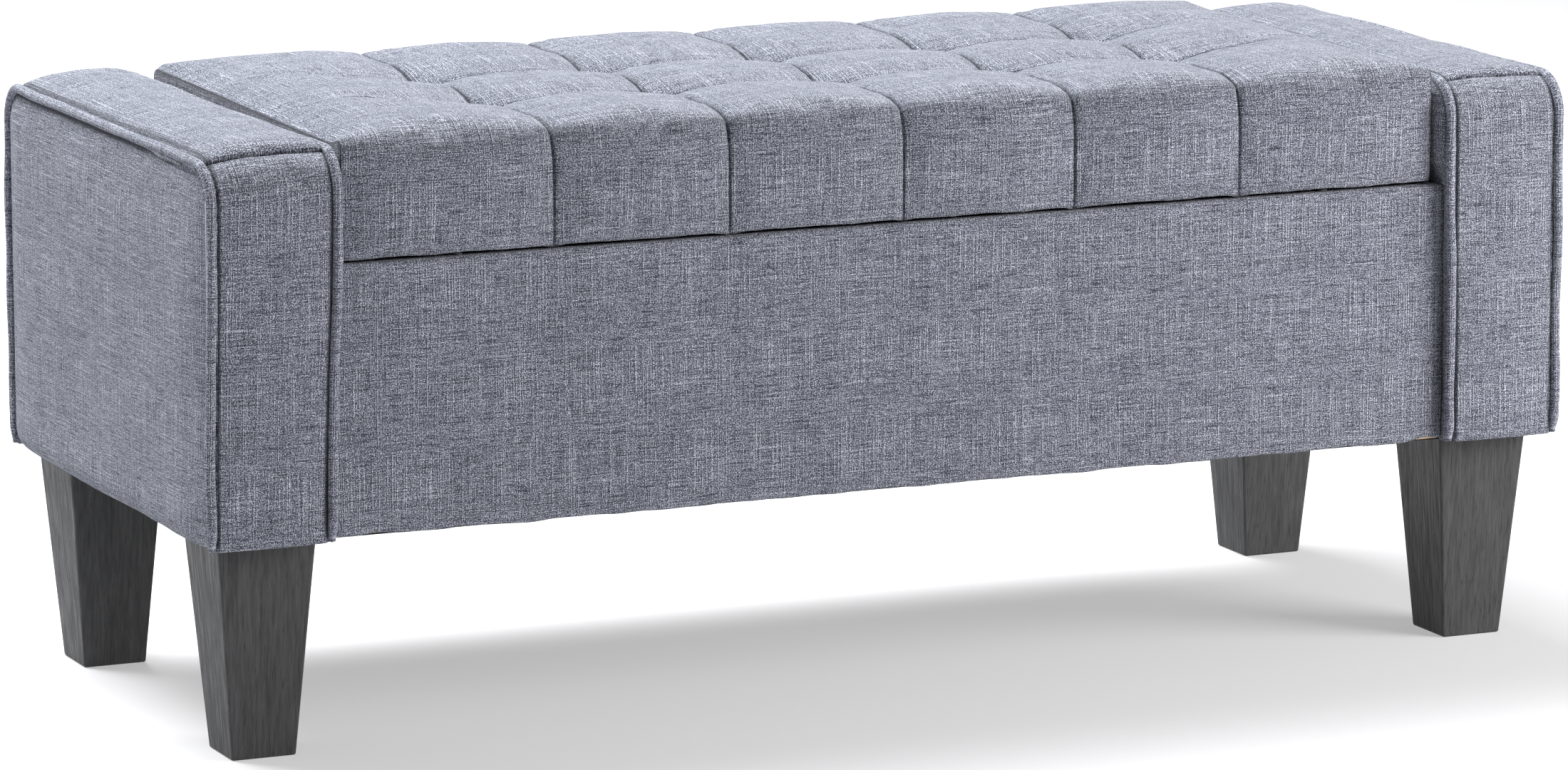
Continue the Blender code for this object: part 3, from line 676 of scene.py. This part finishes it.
# ---- box covers
def make_box_cover(name, facing, wrap_rise, surface):
    """Cloth on the box front (facing -1) or back (facing 1), pulled over its rim."""
    low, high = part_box(name)
    near, far = span(name, 1)
    face = far - 0.0012
    rim_end = span(name.replace("cover", "panel"), 1)[0]
    radius = 0.0032
    top = RIM + wrap_rise
    rise_length = top - radius - low.z
    turn = radius * math.pi / 2
    girth = rise_length + turn + face - radius - rim_end
    s_values = spaced(0, girth, 0.005, fine_at=(0, rise_length + turn / 2), fine_step=0.0007)
    s, x = grid_of(s_values, spaced(-high.x, high.x, 0.006))
    angle = np.clip((s - rise_length) / radius, 0, math.pi / 2)
    over = np.maximum(0, s - rise_length - turn)
    y = face - radius + radius * np.cos(angle) - over
    z = low.z + np.minimum(s, rise_length) + radius * np.sin(angle)

    near_end = 1 - smooth(high.x - np.abs(x), 0, 0.1)
    puff = 0.0014 * bulge(s, 0.05) - 0.0024 * (1 - bulge(s, 0.004))
    puff = puff + 0.0006 * Wobble(0.17)(x, s) + 0.0002 * Wobble(0.05)(x, s)
    hem = (0.0006 + 0.001 * near_end) * Wobble(0.05)(x) * (1 - smooth(s, 0, 0.04))
    front = joined(x, facing * (y + puff * np.cos(angle)), z + hem)
    inner_y = np.minimum(y, near + 0.0001)
    inner_z = np.minimum(z, RIM + 0.0001)
    back = joined(x, facing * inner_y, inner_z + hem)
    uv = joined(x + CUT_AT["box"], s)
    return padded_panel(name, surface, 0.3, front, back, uv, ending="_cloth")


# ---- linings
def along(stops, places, wanted):
    """Points at wanted places along a line through the stops, which lie at the given places."""
    return np.stack([np.interp(wanted, places, axis) for axis in np.array(stops).T], axis=-1)


def make_sheet(name, face, back, node, body, surface):
    """A cut of non-woven cloth, stapled tight, as one thin closed mesh."""
    piece = closed_panel(name, face, back, face[..., :2])
    dress(piece, surface, body, "lining", node)


def make_storage_lining(surface):
    """The compartment's lining over the rims: one length from front to back, and a cut on each end."""
    low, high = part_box("storage_lining")
    batten_low, batten_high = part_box("hinge_rail")
    # the closed lid leaves little room over the rim
    skin, on_rim, over_rim = 0.0011, RIM + 0.00005, RIM + 0.0003
    step_y, step_z = batten_low.y - GAP, batten_low.z - GAP
    outer = [(low.y, on_rim), (low.y, low.z), (high.y, low.z), (high.y, step_z), (step_y, step_z),
             (step_y, on_rim), (batten_high.y, on_rim)]
    inner = [(low.y + skin, over_rim), (low.y + skin, low.z + skin), (high.y - skin, low.z + skin),
             (high.y - skin, step_z - skin), (step_y - skin, step_z - skin), (step_y - skin, over_rim),
             (batten_high.y, over_rim)]
    places = np.concatenate([[0], np.cumsum(np.hypot(*np.diff(np.array(outer), axis=0).T))])
    s_values = spaced(0, places[-1], 0.012, fine_at=places[1:-1], fine_step=0.0015)
    s, x = grid_of(s_values, spaced(low.x + skin, high.x - skin, 0.012))
    from_fold = np.min(np.abs(s[..., None] - places), axis=-1)
    share = 1 + 0.5 * (1 + Wobble(0.09)(x, s)) * smooth(from_fold, 0, 0.03) * (s < places[5])
    outside, inside = along(outer, places, s), along(inner, places, s)
    middle = outside + (inside - outside) * share[..., None]
    face = joined(x, middle[..., 0], middle[..., 1])
    back = joined(x, outside[..., 0], outside[..., 1])
    make_sheet("storage_lining_length", face, back, "storage_lining", "base", surface)

    rim_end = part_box("right_box_side")[1].x
    outer = [(high.x, low.z + skin), (high.x, on_rim), (rim_end, on_rim)]
    inner = [(high.x - skin, low.z + skin), (high.x - skin, over_rim), (rim_end, over_rim)]
    wall, over = on_rim - low.z, rim_end - high.x
    v_values = spaced(0, wall + over, 0.01, fine_at=(step_z - low.z, wall), fine_step=0.0004)
    v, u = grid_of(v_values, np.linspace(0, 1, 40))
    reach = np.where(v < step_z - low.z, high.y, step_y) - skin
    reach = np.where(v > wall, batten_high.y, reach)
    y = low.y + skin + u * (reach - low.y - skin)
    places = np.array([0, wall, wall + over])
    loose = 0.0004 * (1 + Wobble(0.1)(y, v)) * bulge(wall - v, 0.03) * (v < wall)
    outside, inside = along(outer, places, v), along(inner, places, v)
    for hand, side in SIDES:
        face = joined(side * (inside[..., 0] - loose), y, inside[..., 1])
        back = joined(side * outside[..., 0], y, outside[..., 1])
        make_sheet(hand + "_storage_lining_end", face, back, "storage_lining",
                   "base", surface)


def make_flat_linings(surface):
    """The cloth stapled under the lid and the dust cover under the whole frame."""
    for node, body, sag in (("lid_lining", "lid", 0.00015), ("dust_cover", "base", 0.0001)):
        low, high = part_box(node)
        x, y = grid_of(spaced(low.x, high.x, 0.012), spaced(low.y, high.y, 0.012))
        edge = np.minimum(high.x - np.abs(x), np.minimum(high.y - y, y - low.y))
        ripple = sag * (1 + Wobble(0.05)(x, y)) * smooth(edge, 0, 0.03)
        face = joined(x, y, low.z + sag - ripple * 0.5)
        back = joined(x, y, np.full_like(x, high.z))
        make_sheet(node + "_cloth", face, back, node, body, surface)


# ---- fixings
SCREW_RADIUS = 0.003
SCREW_PROUD = 0.0002
RECESS = (0.0016, 0.0004)  # reach and half width of the cross in a head
METAL = 0.0018  # thickness of a leaf or bracket, up to the screws' heads
LEAF_PITCH = 0.022
LEAF_INSET = 0.0075
LID_BRACKET_PITCH = 0.013
LID_BRACKET_INSET = 0.006
STAY_BRACKET_PITCH = 0.0165
STAY_BRACKET_METAL = 0.0016


def cross_outline(arm, half_width):
    """The twelve corners of a cross, once round."""
    quarter = [(arm, -half_width), (arm, half_width), (half_width, half_width)]
    turns = ((1, 0, 0, 1), (0, -1, 1, 0), (-1, 0, 0, -1), (0, 1, -1, 0))
    return np.array([(a * x + b * y, c * x + d * y) for a, b, c, d in turns for x, y in quarter])


def add_screw(cover, place, facing):
    """A countersunk head with a cross recess, its middle at the place, looking along facing."""
    outward = Vector(facing)
    across = Vector((0, 1, 0))
    upward = outward.cross(across)
    cross = cross_outline(*RECESS)
    round_ring = cross / np.linalg.norm(cross, axis=1, keepdims=True) * SCREW_RADIUS
    rings = []
    for outline, level in ((round_ring, -SCREW_PROUD), (round_ring, SCREW_PROUD), (cross, SCREW_PROUD),
                           (cross * 0.8, -SCREW_PROUD / 2)):
        rings.append(np.array([
            Vector(place) + across * a + upward * b + outward * level for a, b in outline]))
    for first, second in zip(rings, rings[1:]):
        cover.add_band(first, second)
    cover.add_lid(rings[0])
    cover.add_lid(rings[-1])


def make_screws(steel):
    """The screws of the hinge leaves and of the stays' brackets."""
    base, lid = Patchwork("base_screws"), Patchwork("lid_screws")
    under_lid = LID_LOW.z - METAL
    for hand, side in SIDES:
        for leaf, heads, facing, level in (("fixed", base, 1, RIM + METAL), ("moving", lid, -1, under_lid)):
            low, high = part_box(f"{hand}_hinge_{leaf}_leaf")
            for step in (-1, 0, 1):
                x = (low.x + high.x) / 2 + step * LEAF_PITCH
                add_screw(heads, (x, low.y + LEAF_INSET, level), (0, 0, facing))
        edge = side * span(hand + "_lid_bracket", 0)[0]
        low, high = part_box(hand + "_lid_bracket")
        for step in (-1, 1):
            y = (low.y + high.y) / 2 + step * LID_BRACKET_PITCH
            add_screw(lid, (edge + side * LID_BRACKET_INSET, y, under_lid), (0, 0, -1))
        wall = side * span(hand + "_stay_bracket", 0)[1]
        low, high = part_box(hand + "_stay_bracket")
        for step in (-1, 1):
            z = (low.z + high.z) / 2 + step * STAY_BRACKET_PITCH
            place = (wall - side * STAY_BRACKET_METAL, (low.y + high.y) / 2, z)
            add_screw(base, place, (-side, 0, 0))
    for heads, body in ((base, "base"), (lid, "lid")):
        dress(heads.make(), steel, body, "steel")


def make_staples(name, node, body, avoid, steel):
    """A row of staples round the edge of the cloth under the lid or under the frame."""
    low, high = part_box(node)
    inset, pitch, half, wire = 0.01, 0.048, 0.005, 0.0005
    taken = [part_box(other) for other in avoid]
    row = Patchwork(name)
    sides = []
    for y in (low.y + inset, high.y - inset):
        sides += [((x, y), (half, wire)) for x in spaced(low.x + 0.03, high.x - 0.03, pitch)]
    for x in (low.x + inset, high.x - inset):
        sides += [((x, y), (wire, half)) for y in spaced(low.y + 0.03, high.y - 0.03, pitch)]
    for (x, y), (reach_x, reach_y) in sides:
        if any(a.x - half < x < b.x + half and a.y - half < y < b.y + half for a, b in taken):
            continue
        corners = [(-1, -1), (1, -1), (1, 1), (-1, 1)]
        rings = [np.array([(x + a * reach_x, y + b * reach_y, z) for a, b in corners])
                 for z in (low.z - wire, low.z + wire)]
        row.add_band(*rings)
        row.add_lid(rings[0])
        row.add_lid(rings[1])
    dress(row.make(), steel, body, "steel")


# ---- lid
FRONT_FACE = COVER_TOP - FRONT_ROUND - LID_LOW.z
TOP_START = FRONT_FACE + FRONT_ROUND * math.pi / 2
TOP_RUN = (COVER_BACK - BACK_ROUND) - (COVER_FRONT + FRONT_ROUND)
BACK_TURN = BACK_ROUND * math.pi / 2
BACK_FACE = COVER_TOP - BACK_ROUND - LID_LOW.z
GIRTH = TOP_START + TOP_RUN + BACK_TURN + BACK_FACE
SEAMS_S = tuple(TOP_START + y - COVER_FRONT - FRONT_ROUND for y in SEAMS_Y)


def lid_section(s):
    """Point (y, z) and outward direction (y, z) along the flat cover's section, front bottom edge first."""
    front_turn = np.clip((s - FRONT_FACE) / FRONT_ROUND, 0, math.pi / 2)
    on_top = np.clip(s - TOP_START, 0, TOP_RUN)
    back_turn = np.clip((s - TOP_START - TOP_RUN) / BACK_ROUND, 0, math.pi / 2)
    down = np.maximum(0, s - (GIRTH - BACK_FACE))
    y_front = COVER_FRONT + FRONT_ROUND * (1 - np.cos(front_turn)) + on_top
    z_front = LID_LOW.z + np.minimum(s, FRONT_FACE) + FRONT_ROUND * np.sin(front_turn)
    y_back = COVER_FRONT + FRONT_ROUND + on_top + BACK_ROUND * np.sin(back_turn)
    z_back = COVER_TOP - BACK_ROUND * (1 - np.cos(back_turn)) - down
    is_back = s > TOP_START + TOP_RUN / 2
    y = np.where(is_back, y_back, y_front)
    z = np.where(is_back, z_back, z_front)
    out_y = np.where(is_back, np.sin(back_turn), -np.cos(front_turn))
    out_z = np.where(is_back, np.cos(back_turn), np.sin(front_turn))
    return y, z, out_y, out_z


def nearest(values, places):
    """Distance to the nearest of the places."""
    return np.min([np.abs(values - place) for place in places], axis=0)


def sewn_fall(x, s):
    """How far the sewn cover lies under the flat one, before its filling swells it."""
    to_cross, to_along, to_end = nearest(x, SEAMS_X), nearest(s, SEAMS_S), LID_HIGH.x - np.abs(x)
    near_row = np.maximum(0, 1 - to_along / TUFT_REACH) ** 2
    near_column = np.maximum(0, 1 - to_cross / TUFT_REACH) ** 2
    at_turn = np.exp(-((s - FRONT_FACE - 0.8 * FRONT_ROUND) / 0.02) ** 2)
    cross = CROSS_FALL + (TUFT_FALL - CROSS_FALL) * near_row + TURN_FALL * at_turn
    along = ALONG_FALL + (TUFT_FALL - ALONG_FALL) * near_column
    cross = cross * (1 - bulge(to_cross, 0.055)) * smooth(GIRTH - s, *BOARD_REACH)
    along = along * (1 - bulge(to_along, 0.06)) * smooth(to_end, *ALONG_FADE)
    backward = smooth(s, FRONT_FACE, GIRTH - BACK_FACE)
    on_top = smooth(s, FRONT_FACE, TOP_START + 0.02) * smooth(GIRTH - s, BACK_FACE, BACK_FACE + BACK_TURN)
    end = END_FALL_FRONT + (END_FALL_BACK - END_FALL_FRONT) * backward
    end = end * (0.45 + 0.55 * on_top) * (1 - bulge(to_end, 0.05))
    roll = EDGE_ROLL * (1 - bulge(to_end, 0.0075)) * on_top
    return (cross ** 3 + along ** 3) ** (1 / 3) + end + roll


def swell(name, grid, held):
    """Blow the cover up from inside with Blender's cloth, its sewn lines and edges held in place."""
    rows, columns = held.shape
    mesh = bpy.data.meshes.new(name)
    mesh.from_pydata(grid.reshape(-1, 3).tolist(), [], quads(rows, columns))
    piece = add_piece(name, mesh)
    group = piece.vertex_groups.new(name="held")
    group.add([int(index) for index in np.flatnonzero(held.ravel())], 1, "REPLACE")
    cloth = piece.modifiers.new("cloth", "CLOTH")
    cloth.point_cache.frame_start = 1
    cloth.point_cache.frame_end = CLOTH_FRAMES
    cloth.collision_settings.use_collision = False
    for key, value in CLOTH_SETTINGS.items():
        setattr(cloth.settings, key, value)
    cloth.settings.effector_weights.gravity = 0
    scene = bpy.context.scene
    for frame_number in range(1, CLOTH_FRAMES + 1):
        scene.frame_set(frame_number)
    swollen = piece.evaluated_get(bpy.context.evaluated_depsgraph_get()).to_mesh()
    points = np.zeros(rows * columns * 3)
    swollen.vertices.foreach_get("co", points)
    scene.frame_set(1)
    bpy.data.objects.remove(piece)
    return points.reshape(rows, columns, 3)


def even_steps(stops, step):
    """Evenly spaced places between each two stops."""
    places = []
    for start, end in zip(stops, stops[1:]):
        count = max(2, round((end - start) / step))
        places += [start + (end - start) * index / count for index in range(count)]
    return np.array(places + [stops[-1]])


def refine(values, places, wanted, breaks):
    """Values at the wanted places along the first axis, by smooth curves that may kink at the breaks."""
    result = np.empty((len(wanted), *values.shape[1:]))
    for start, end in zip(breaks, breaks[1:]):
        inside = (places >= start - 1e-9) & (places <= end + 1e-9)
        known, part = places[inside], values[inside]
        part = np.concatenate([2 * part[:1] - part[1:2], part, 2 * part[-1:] - part[-2:-1]])
        chosen = (wanted >= start - 1e-9) & (wanted <= end + 1e-9)
        step = (known[-1] - known[0]) / (len(known) - 1)
        where = np.clip((wanted[chosen] - known[0]) / step, 0, len(known) - 1 - 1e-9)
        index = where.astype(int)
        t = (where - index).reshape(-1, *[1] * (values.ndim - 1))
        before, low, high, after = (part[index + shift] for shift in range(4))
        result[chosen] = 0.5 * (
            2 * low + (high - before) * t + (2 * before - 5 * low + 4 * high - after) * t ** 2
            + (3 * low - before - 3 * high + after) * t ** 3)
    return result


def lid_wrinkles(x, s):
    """Small pulls that run away from the pulled-down crossings and from the end seams."""
    to_cross, to_end = nearest(x, SEAMS_X), LID_HIGH.x - np.abs(x)
    total = np.zeros_like(x)
    for column in SEAMS_X:
        for row in SEAMS_S:
            reach = np.hypot(x - column, s - row)
            angle = np.arctan2(s - row, x - column)
            phase = rng.uniform(0, 2 * math.pi)
            rays = np.sin(angle * 9 + phase) + 0.7 * np.sin(angle * 14 + 2.3 * phase)
            total += 0.00055 * rays * np.exp(-reach / 0.018) * smooth(reach, 0.001, 0.01)
    gathers = Wobble(0.0085)
    total += 0.00045 * gathers(s, x * 0.06) * np.exp(-to_end / 0.012) * smooth(to_end, 0, 0.002)
    pulls = Wobble(0.016)
    total += 0.0002 * pulls(s, x * 0.15) * np.exp(-to_cross / 0.01)
    return total


def lid_surface():
    """Grids of the finished cover's points, cloth coordinates and the painted shade of its sewn lines."""
    x_stops = (LID_LOW.x, *SEAMS_X, LID_HIGH.x)
    s_stops = (0, *SEAMS_S, GIRTH)
    x_coarse = even_steps(x_stops, CLOTH_STEP)
    s_coarse = even_steps(s_stops, CLOTH_STEP)
    s, x = grid_of(s_coarse, x_coarse)
    y, z, out_y, out_z = lid_section(s)
    fall = sewn_fall(x, s)
    grid = joined(x, y - out_y * fall, z - out_z * fall)
    to_end = LID_HIGH.x - np.abs(x)
    on_line = (nearest(x, SEAMS_X) < TINY) | ((nearest(s, SEAMS_S) < TINY) & (to_end > HELD_TO_END))
    on_edge = (to_end < TINY) | (s < TINY) | (s > GIRTH - TINY)
    pushed = swell("lid_cover_cloth", grid, on_line | on_edge) - grid
    length = np.linalg.norm(pushed, axis=-1, keepdims=True)
    limit = CLOTH_LIMIT * (0.3 + 0.7 * smooth(to_end, 0, 0.12))[..., None]
    grid = grid + pushed * np.tanh(length / limit) * limit / np.maximum(length, 1e-9)

    x_fine = spaced(LID_LOW.x, LID_HIGH.x, 0.0036, fine_at=(*SEAMS_X, LID_LOW.x, LID_HIGH.x))
    s_fine = spaced(0, GIRTH, 0.0032, fine_at=SEAMS_S)
    grid = refine(grid, s_coarse, s_fine, s_stops)
    grid = refine(grid.transpose(1, 0, 2), x_coarse, x_fine, x_stops).transpose(1, 0, 2)

    s, x = grid_of(s_fine, x_fine)
    to_end = LID_HIGH.x - np.abs(x)
    on_top = smooth(s, FRONT_FACE, TOP_START)
    # painted shade, as sewn marks: along the sewn lines and the end seams, wider and darker on top
    width = SEAM_WIDTH * (1 + 0.7 * on_top)
    cross_line = np.exp(-(nearest(x, SEAMS_X) / width) ** 2)
    along_line = np.exp(-(nearest(s, SEAMS_S) / width) ** 2) * smooth(to_end, *LINE_FADE)
    end_seam_shade = np.exp(-(to_end / SEAM_WIDTH) ** 2)
    line = np.maximum(cross_line, along_line)
    rise = lid_wrinkles(x, s) - SEAM_DEPTH * line
    hem = 1 - smooth(np.minimum(s, GIRTH - s), 0, 0.006)
    rise = rise * (1 - hem) - 0.0018 * hem
    along_s, along_x = np.gradient(grid, axis=0), np.gradient(grid, axis=1)
    out = np.cross(along_x, along_s)
    out = out / np.linalg.norm(out, axis=-1, keepdims=True)
    grid = grid + out * rise[..., None]
    foot_wave = 0.0004 * Wobble(0.06)(x) - 0.001 * np.exp(-(nearest(x, SEAMS_X) / 0.006) ** 2)
    grid[..., 2] += hem * foot_wave
    grid[..., 0] = np.clip(grid[..., 0], LID_LOW.x, LID_HIGH.x) * (1 + END_SWELL / LID_HIGH.x)
    uv = joined(x, s + CUT_AT["lid"])
    return grid, uv, np.maximum(line, end_seam_shade) * (0.78 + 0.22 * on_top)


def lid_end(edge, side):
    """The strip that closes one end of the lid, from the cover's end line down to the foot."""
    count = 16
    drop = np.linspace(0, 1, count)[None, :]
    run = np.linspace(0, 1, len(edge))[:, None]
    foot_y = edge[0, 1] + (edge[-1, 1] - edge[0, 1]) * run
    foot_z = edge[0, 2] + (edge[-1, 2] - edge[0, 2]) * run
    y = edge[:, 1:2] * (1 - drop) + foot_y * drop
    z = edge[:, 2:3] * (1 - drop) + foot_z * drop
    under = edge[:, 2:3] - z
    inside = np.sin(math.pi * drop)
    ripple = Wobble(0.011)(y, z * 0.1) * 0.00045 * np.exp(-under / 0.014)
    rise = inside * (0.0012 + ripple) * smooth(np.minimum(run, 1 - run), 0, 0.08)
    x = side * (LID_HIGH.x + END_SWELL + rise)
    grid = joined(x, y, z)
    grid[:, 0] = edge
    uv = joined(y + CUT_AT["lid_end"], z)
    # painted shade, as sewn marks: along the seam at the top of the strip
    marks = np.exp(-(under / 0.0012) ** 2) * np.ones_like(y)
    return grid, uv, marks


def make_lid_cover(surface):
    """The tufted cover, its two ends, and the pocket under it that takes the lid board."""
    cover = Patchwork("lid_tufted_cover")
    grid, uv, marks = lid_surface()
    cover.add(grid, uv, marks)
    ends = []
    for column, side in ((0, -1), (-1, 1)):
        end, end_uv, end_marks = lid_end(grid[:, column], side)
        cover.add(end, end_uv, end_marks)
        ends.append(end[:, -1])
    left, right = ends
    foot = np.concatenate([grid[0, :-1], right[:-1], grid[-1, :0:-1], left[:0:-1]])
    inner = foot.copy()
    inner[:, 0] = np.clip(foot[:, 0], LID_LOW.x + POCKET, LID_HIGH.x - POCKET)
    inner[:, 1] = np.clip(foot[:, 1], LID_LOW.y + POCKET, BOARD_HIGH.y + BOARD_GAP)
    inner[:, 2] = LID_LOW.z
    raised = inner.copy()
    raised[:, 2] = BOARD_HIGH.z + BOARD_GAP
    cover.add_band(foot, inner)
    cover.add_band(inner, raised)
    cover.add_lid(raised)
    return dress(cover.make(), surface, "lid", "linen", "lid_cushion", fill=0.8)


# ---- camera, floor and light
CAMERA_AZIMUTH = math.radians(-24.098)
CAMERA_ELEVATION = math.radians(10.679)
CAMERA_PLACE = Vector((-2.2827, -5.0986, 1.2611))
CAMERA_LENS = 166.3
FLOOR_RADIUS = 30
FLOOR_SIDES = 64
SKY_COLOR = (0.97, 0.98, 1, 1)
SKY_STRENGTH = 0.3
# name, place, what it looks at, size, watts, colour
LIGHTS = (
    ("key_above", (-0.9, 2, 3.8), (0, 0, 0.3), (3.6, 2), 625, (1,) * 3),
    ("right_front", (2, -1.6, 1), (0.5, 0, 0.25), (1.4, 1.4), 100, (1, 0.965, 0.95)),
    ("left_back", (-3.4, 1.6, 1.3), (-0.5, 0, 0.3), (1.8, 1.8), 8, (0.92, 0.96, 1)),
)


def aim(piece, direction):
    """Turn a camera or a light so that it looks along a direction."""
    piece.rotation_mode = "QUATERNION"
    piece.rotation_quaternion = direction.to_track_quat("-Z", "Y")


def make_camera():
    """The view of the picture, from the front left and a little above."""
    data = bpy.data.cameras.new("camera")
    data.lens = CAMERA_LENS
    camera = add_piece("camera", data)
    bpy.context.scene.camera = camera
    flat = math.cos(CAMERA_ELEVATION)
    back_x, back_y = math.sin(CAMERA_AZIMUTH) * flat, -math.cos(CAMERA_AZIMUTH) * flat
    camera.location = CAMERA_PLACE
    aim(camera, -Vector((back_x, back_y, math.sin(CAMERA_ELEVATION))))


def make_floor():
    """A wide round floor at the feet of the legs."""
    mesh = bpy.data.meshes.new("floor")
    angles = [2 * math.pi * index / FLOOR_SIDES for index in range(FLOOR_SIDES)]
    ring = [(FLOOR_RADIUS * math.cos(angle), FLOOR_RADIUS * math.sin(angle), 0) for angle in angles]
    mesh.from_pydata(ring, [], [tuple(range(FLOOR_SIDES))])
    floor = add_piece("floor", mesh)
    mesh.materials.append(pale_floor("floor_pale"))


def make_light():
    """An even sky and three rectangular lamps."""
    world = bpy.data.worlds.new("studio")
    bpy.context.scene.world = world
    world.use_nodes = True
    sky = world.node_tree.nodes["Background"]
    sky.inputs["Color"].default_value = SKY_COLOR
    sky.inputs["Strength"].default_value = SKY_STRENGTH
    for name, place, target, size, watts, color in LIGHTS:
        data = bpy.data.lights.new(name, "AREA")
        data.shape = "RECTANGLE"
        data.size, data.size_y = size
        data.energy = watts
        data.color = color
        light = add_piece(name, data)
        light.location = place
        aim(light, Vector(target) - Vector(place))


# ---- whole scene
def finish_cad_parts():
    """Better materials on the CAD parts that stay visible."""
    surfaces = {
        "plywood": plywood("plywood_raw"),
        "leg_wood": brushed_oak("leg_brushed_oak"),
        "lining": felted("lining_felted", FELT_COLOR),
        "steel": plated_steel("steel_plated"),
        "rubber": moulded_rubber("rubber_moulded"),
        "linen": linen("linen_plain"),
    }
    for part in frame["record"]["subparts"]:
        node = frame["nodes"][part["node"]]
        surface = surfaces[part["material_slot"]]
        node.data.materials.clear()
        node.data.materials.append(surface)


def main():
    """Everything in its order, which the random unevenness depends on."""
    finish_cad_parts()
    cloth = linen("linen_woven")
    # painted light: the pipings get a copy of the linen 1.12 times brighter, for the light that the cords
    # catch
    cord_cloth_lit = linen("linen_piping_painted_lit", 1.12)
    for hand, side in SIDES:
        make_arm_boxing(hand, side, cloth)
        make_side_pad(hand, side, cloth)
        make_arm_facing(hand, side, cloth)
        make_piping(hand, side, "outer", cord_cloth_lit)
        make_piping(hand, side, "inner", cord_cloth_lit)
    make_box_cover("front_cover", -1, 0.002, cloth)
    make_box_cover("back_cover", 1, 0.0003, cloth)
    black = felted("lining_black", FELT_COLOR)
    make_storage_lining(black)
    make_flat_linings(black)
    steel = plated_steel("steel_fixings")
    make_screws(steel)
    lid_hardware = [f"{side}_{part}" for side, _ in SIDES for part in ("hinge_moving_leaf", "lid_bracket")]
    legs = [f"{end}_{side}_leg" for end in ("front", "back") for side in ("left", "right")]
    make_staples("lid_lining_staples", "lid_lining", "lid", lid_hardware, steel)
    make_staples("dust_cover_staples", "dust_cover", "base", legs, steel)
    make_lid_cover(cloth)
    make_camera()
    make_floor()
    make_light()
    bpy.context.scene.view_settings.view_transform = "Standard"


main()
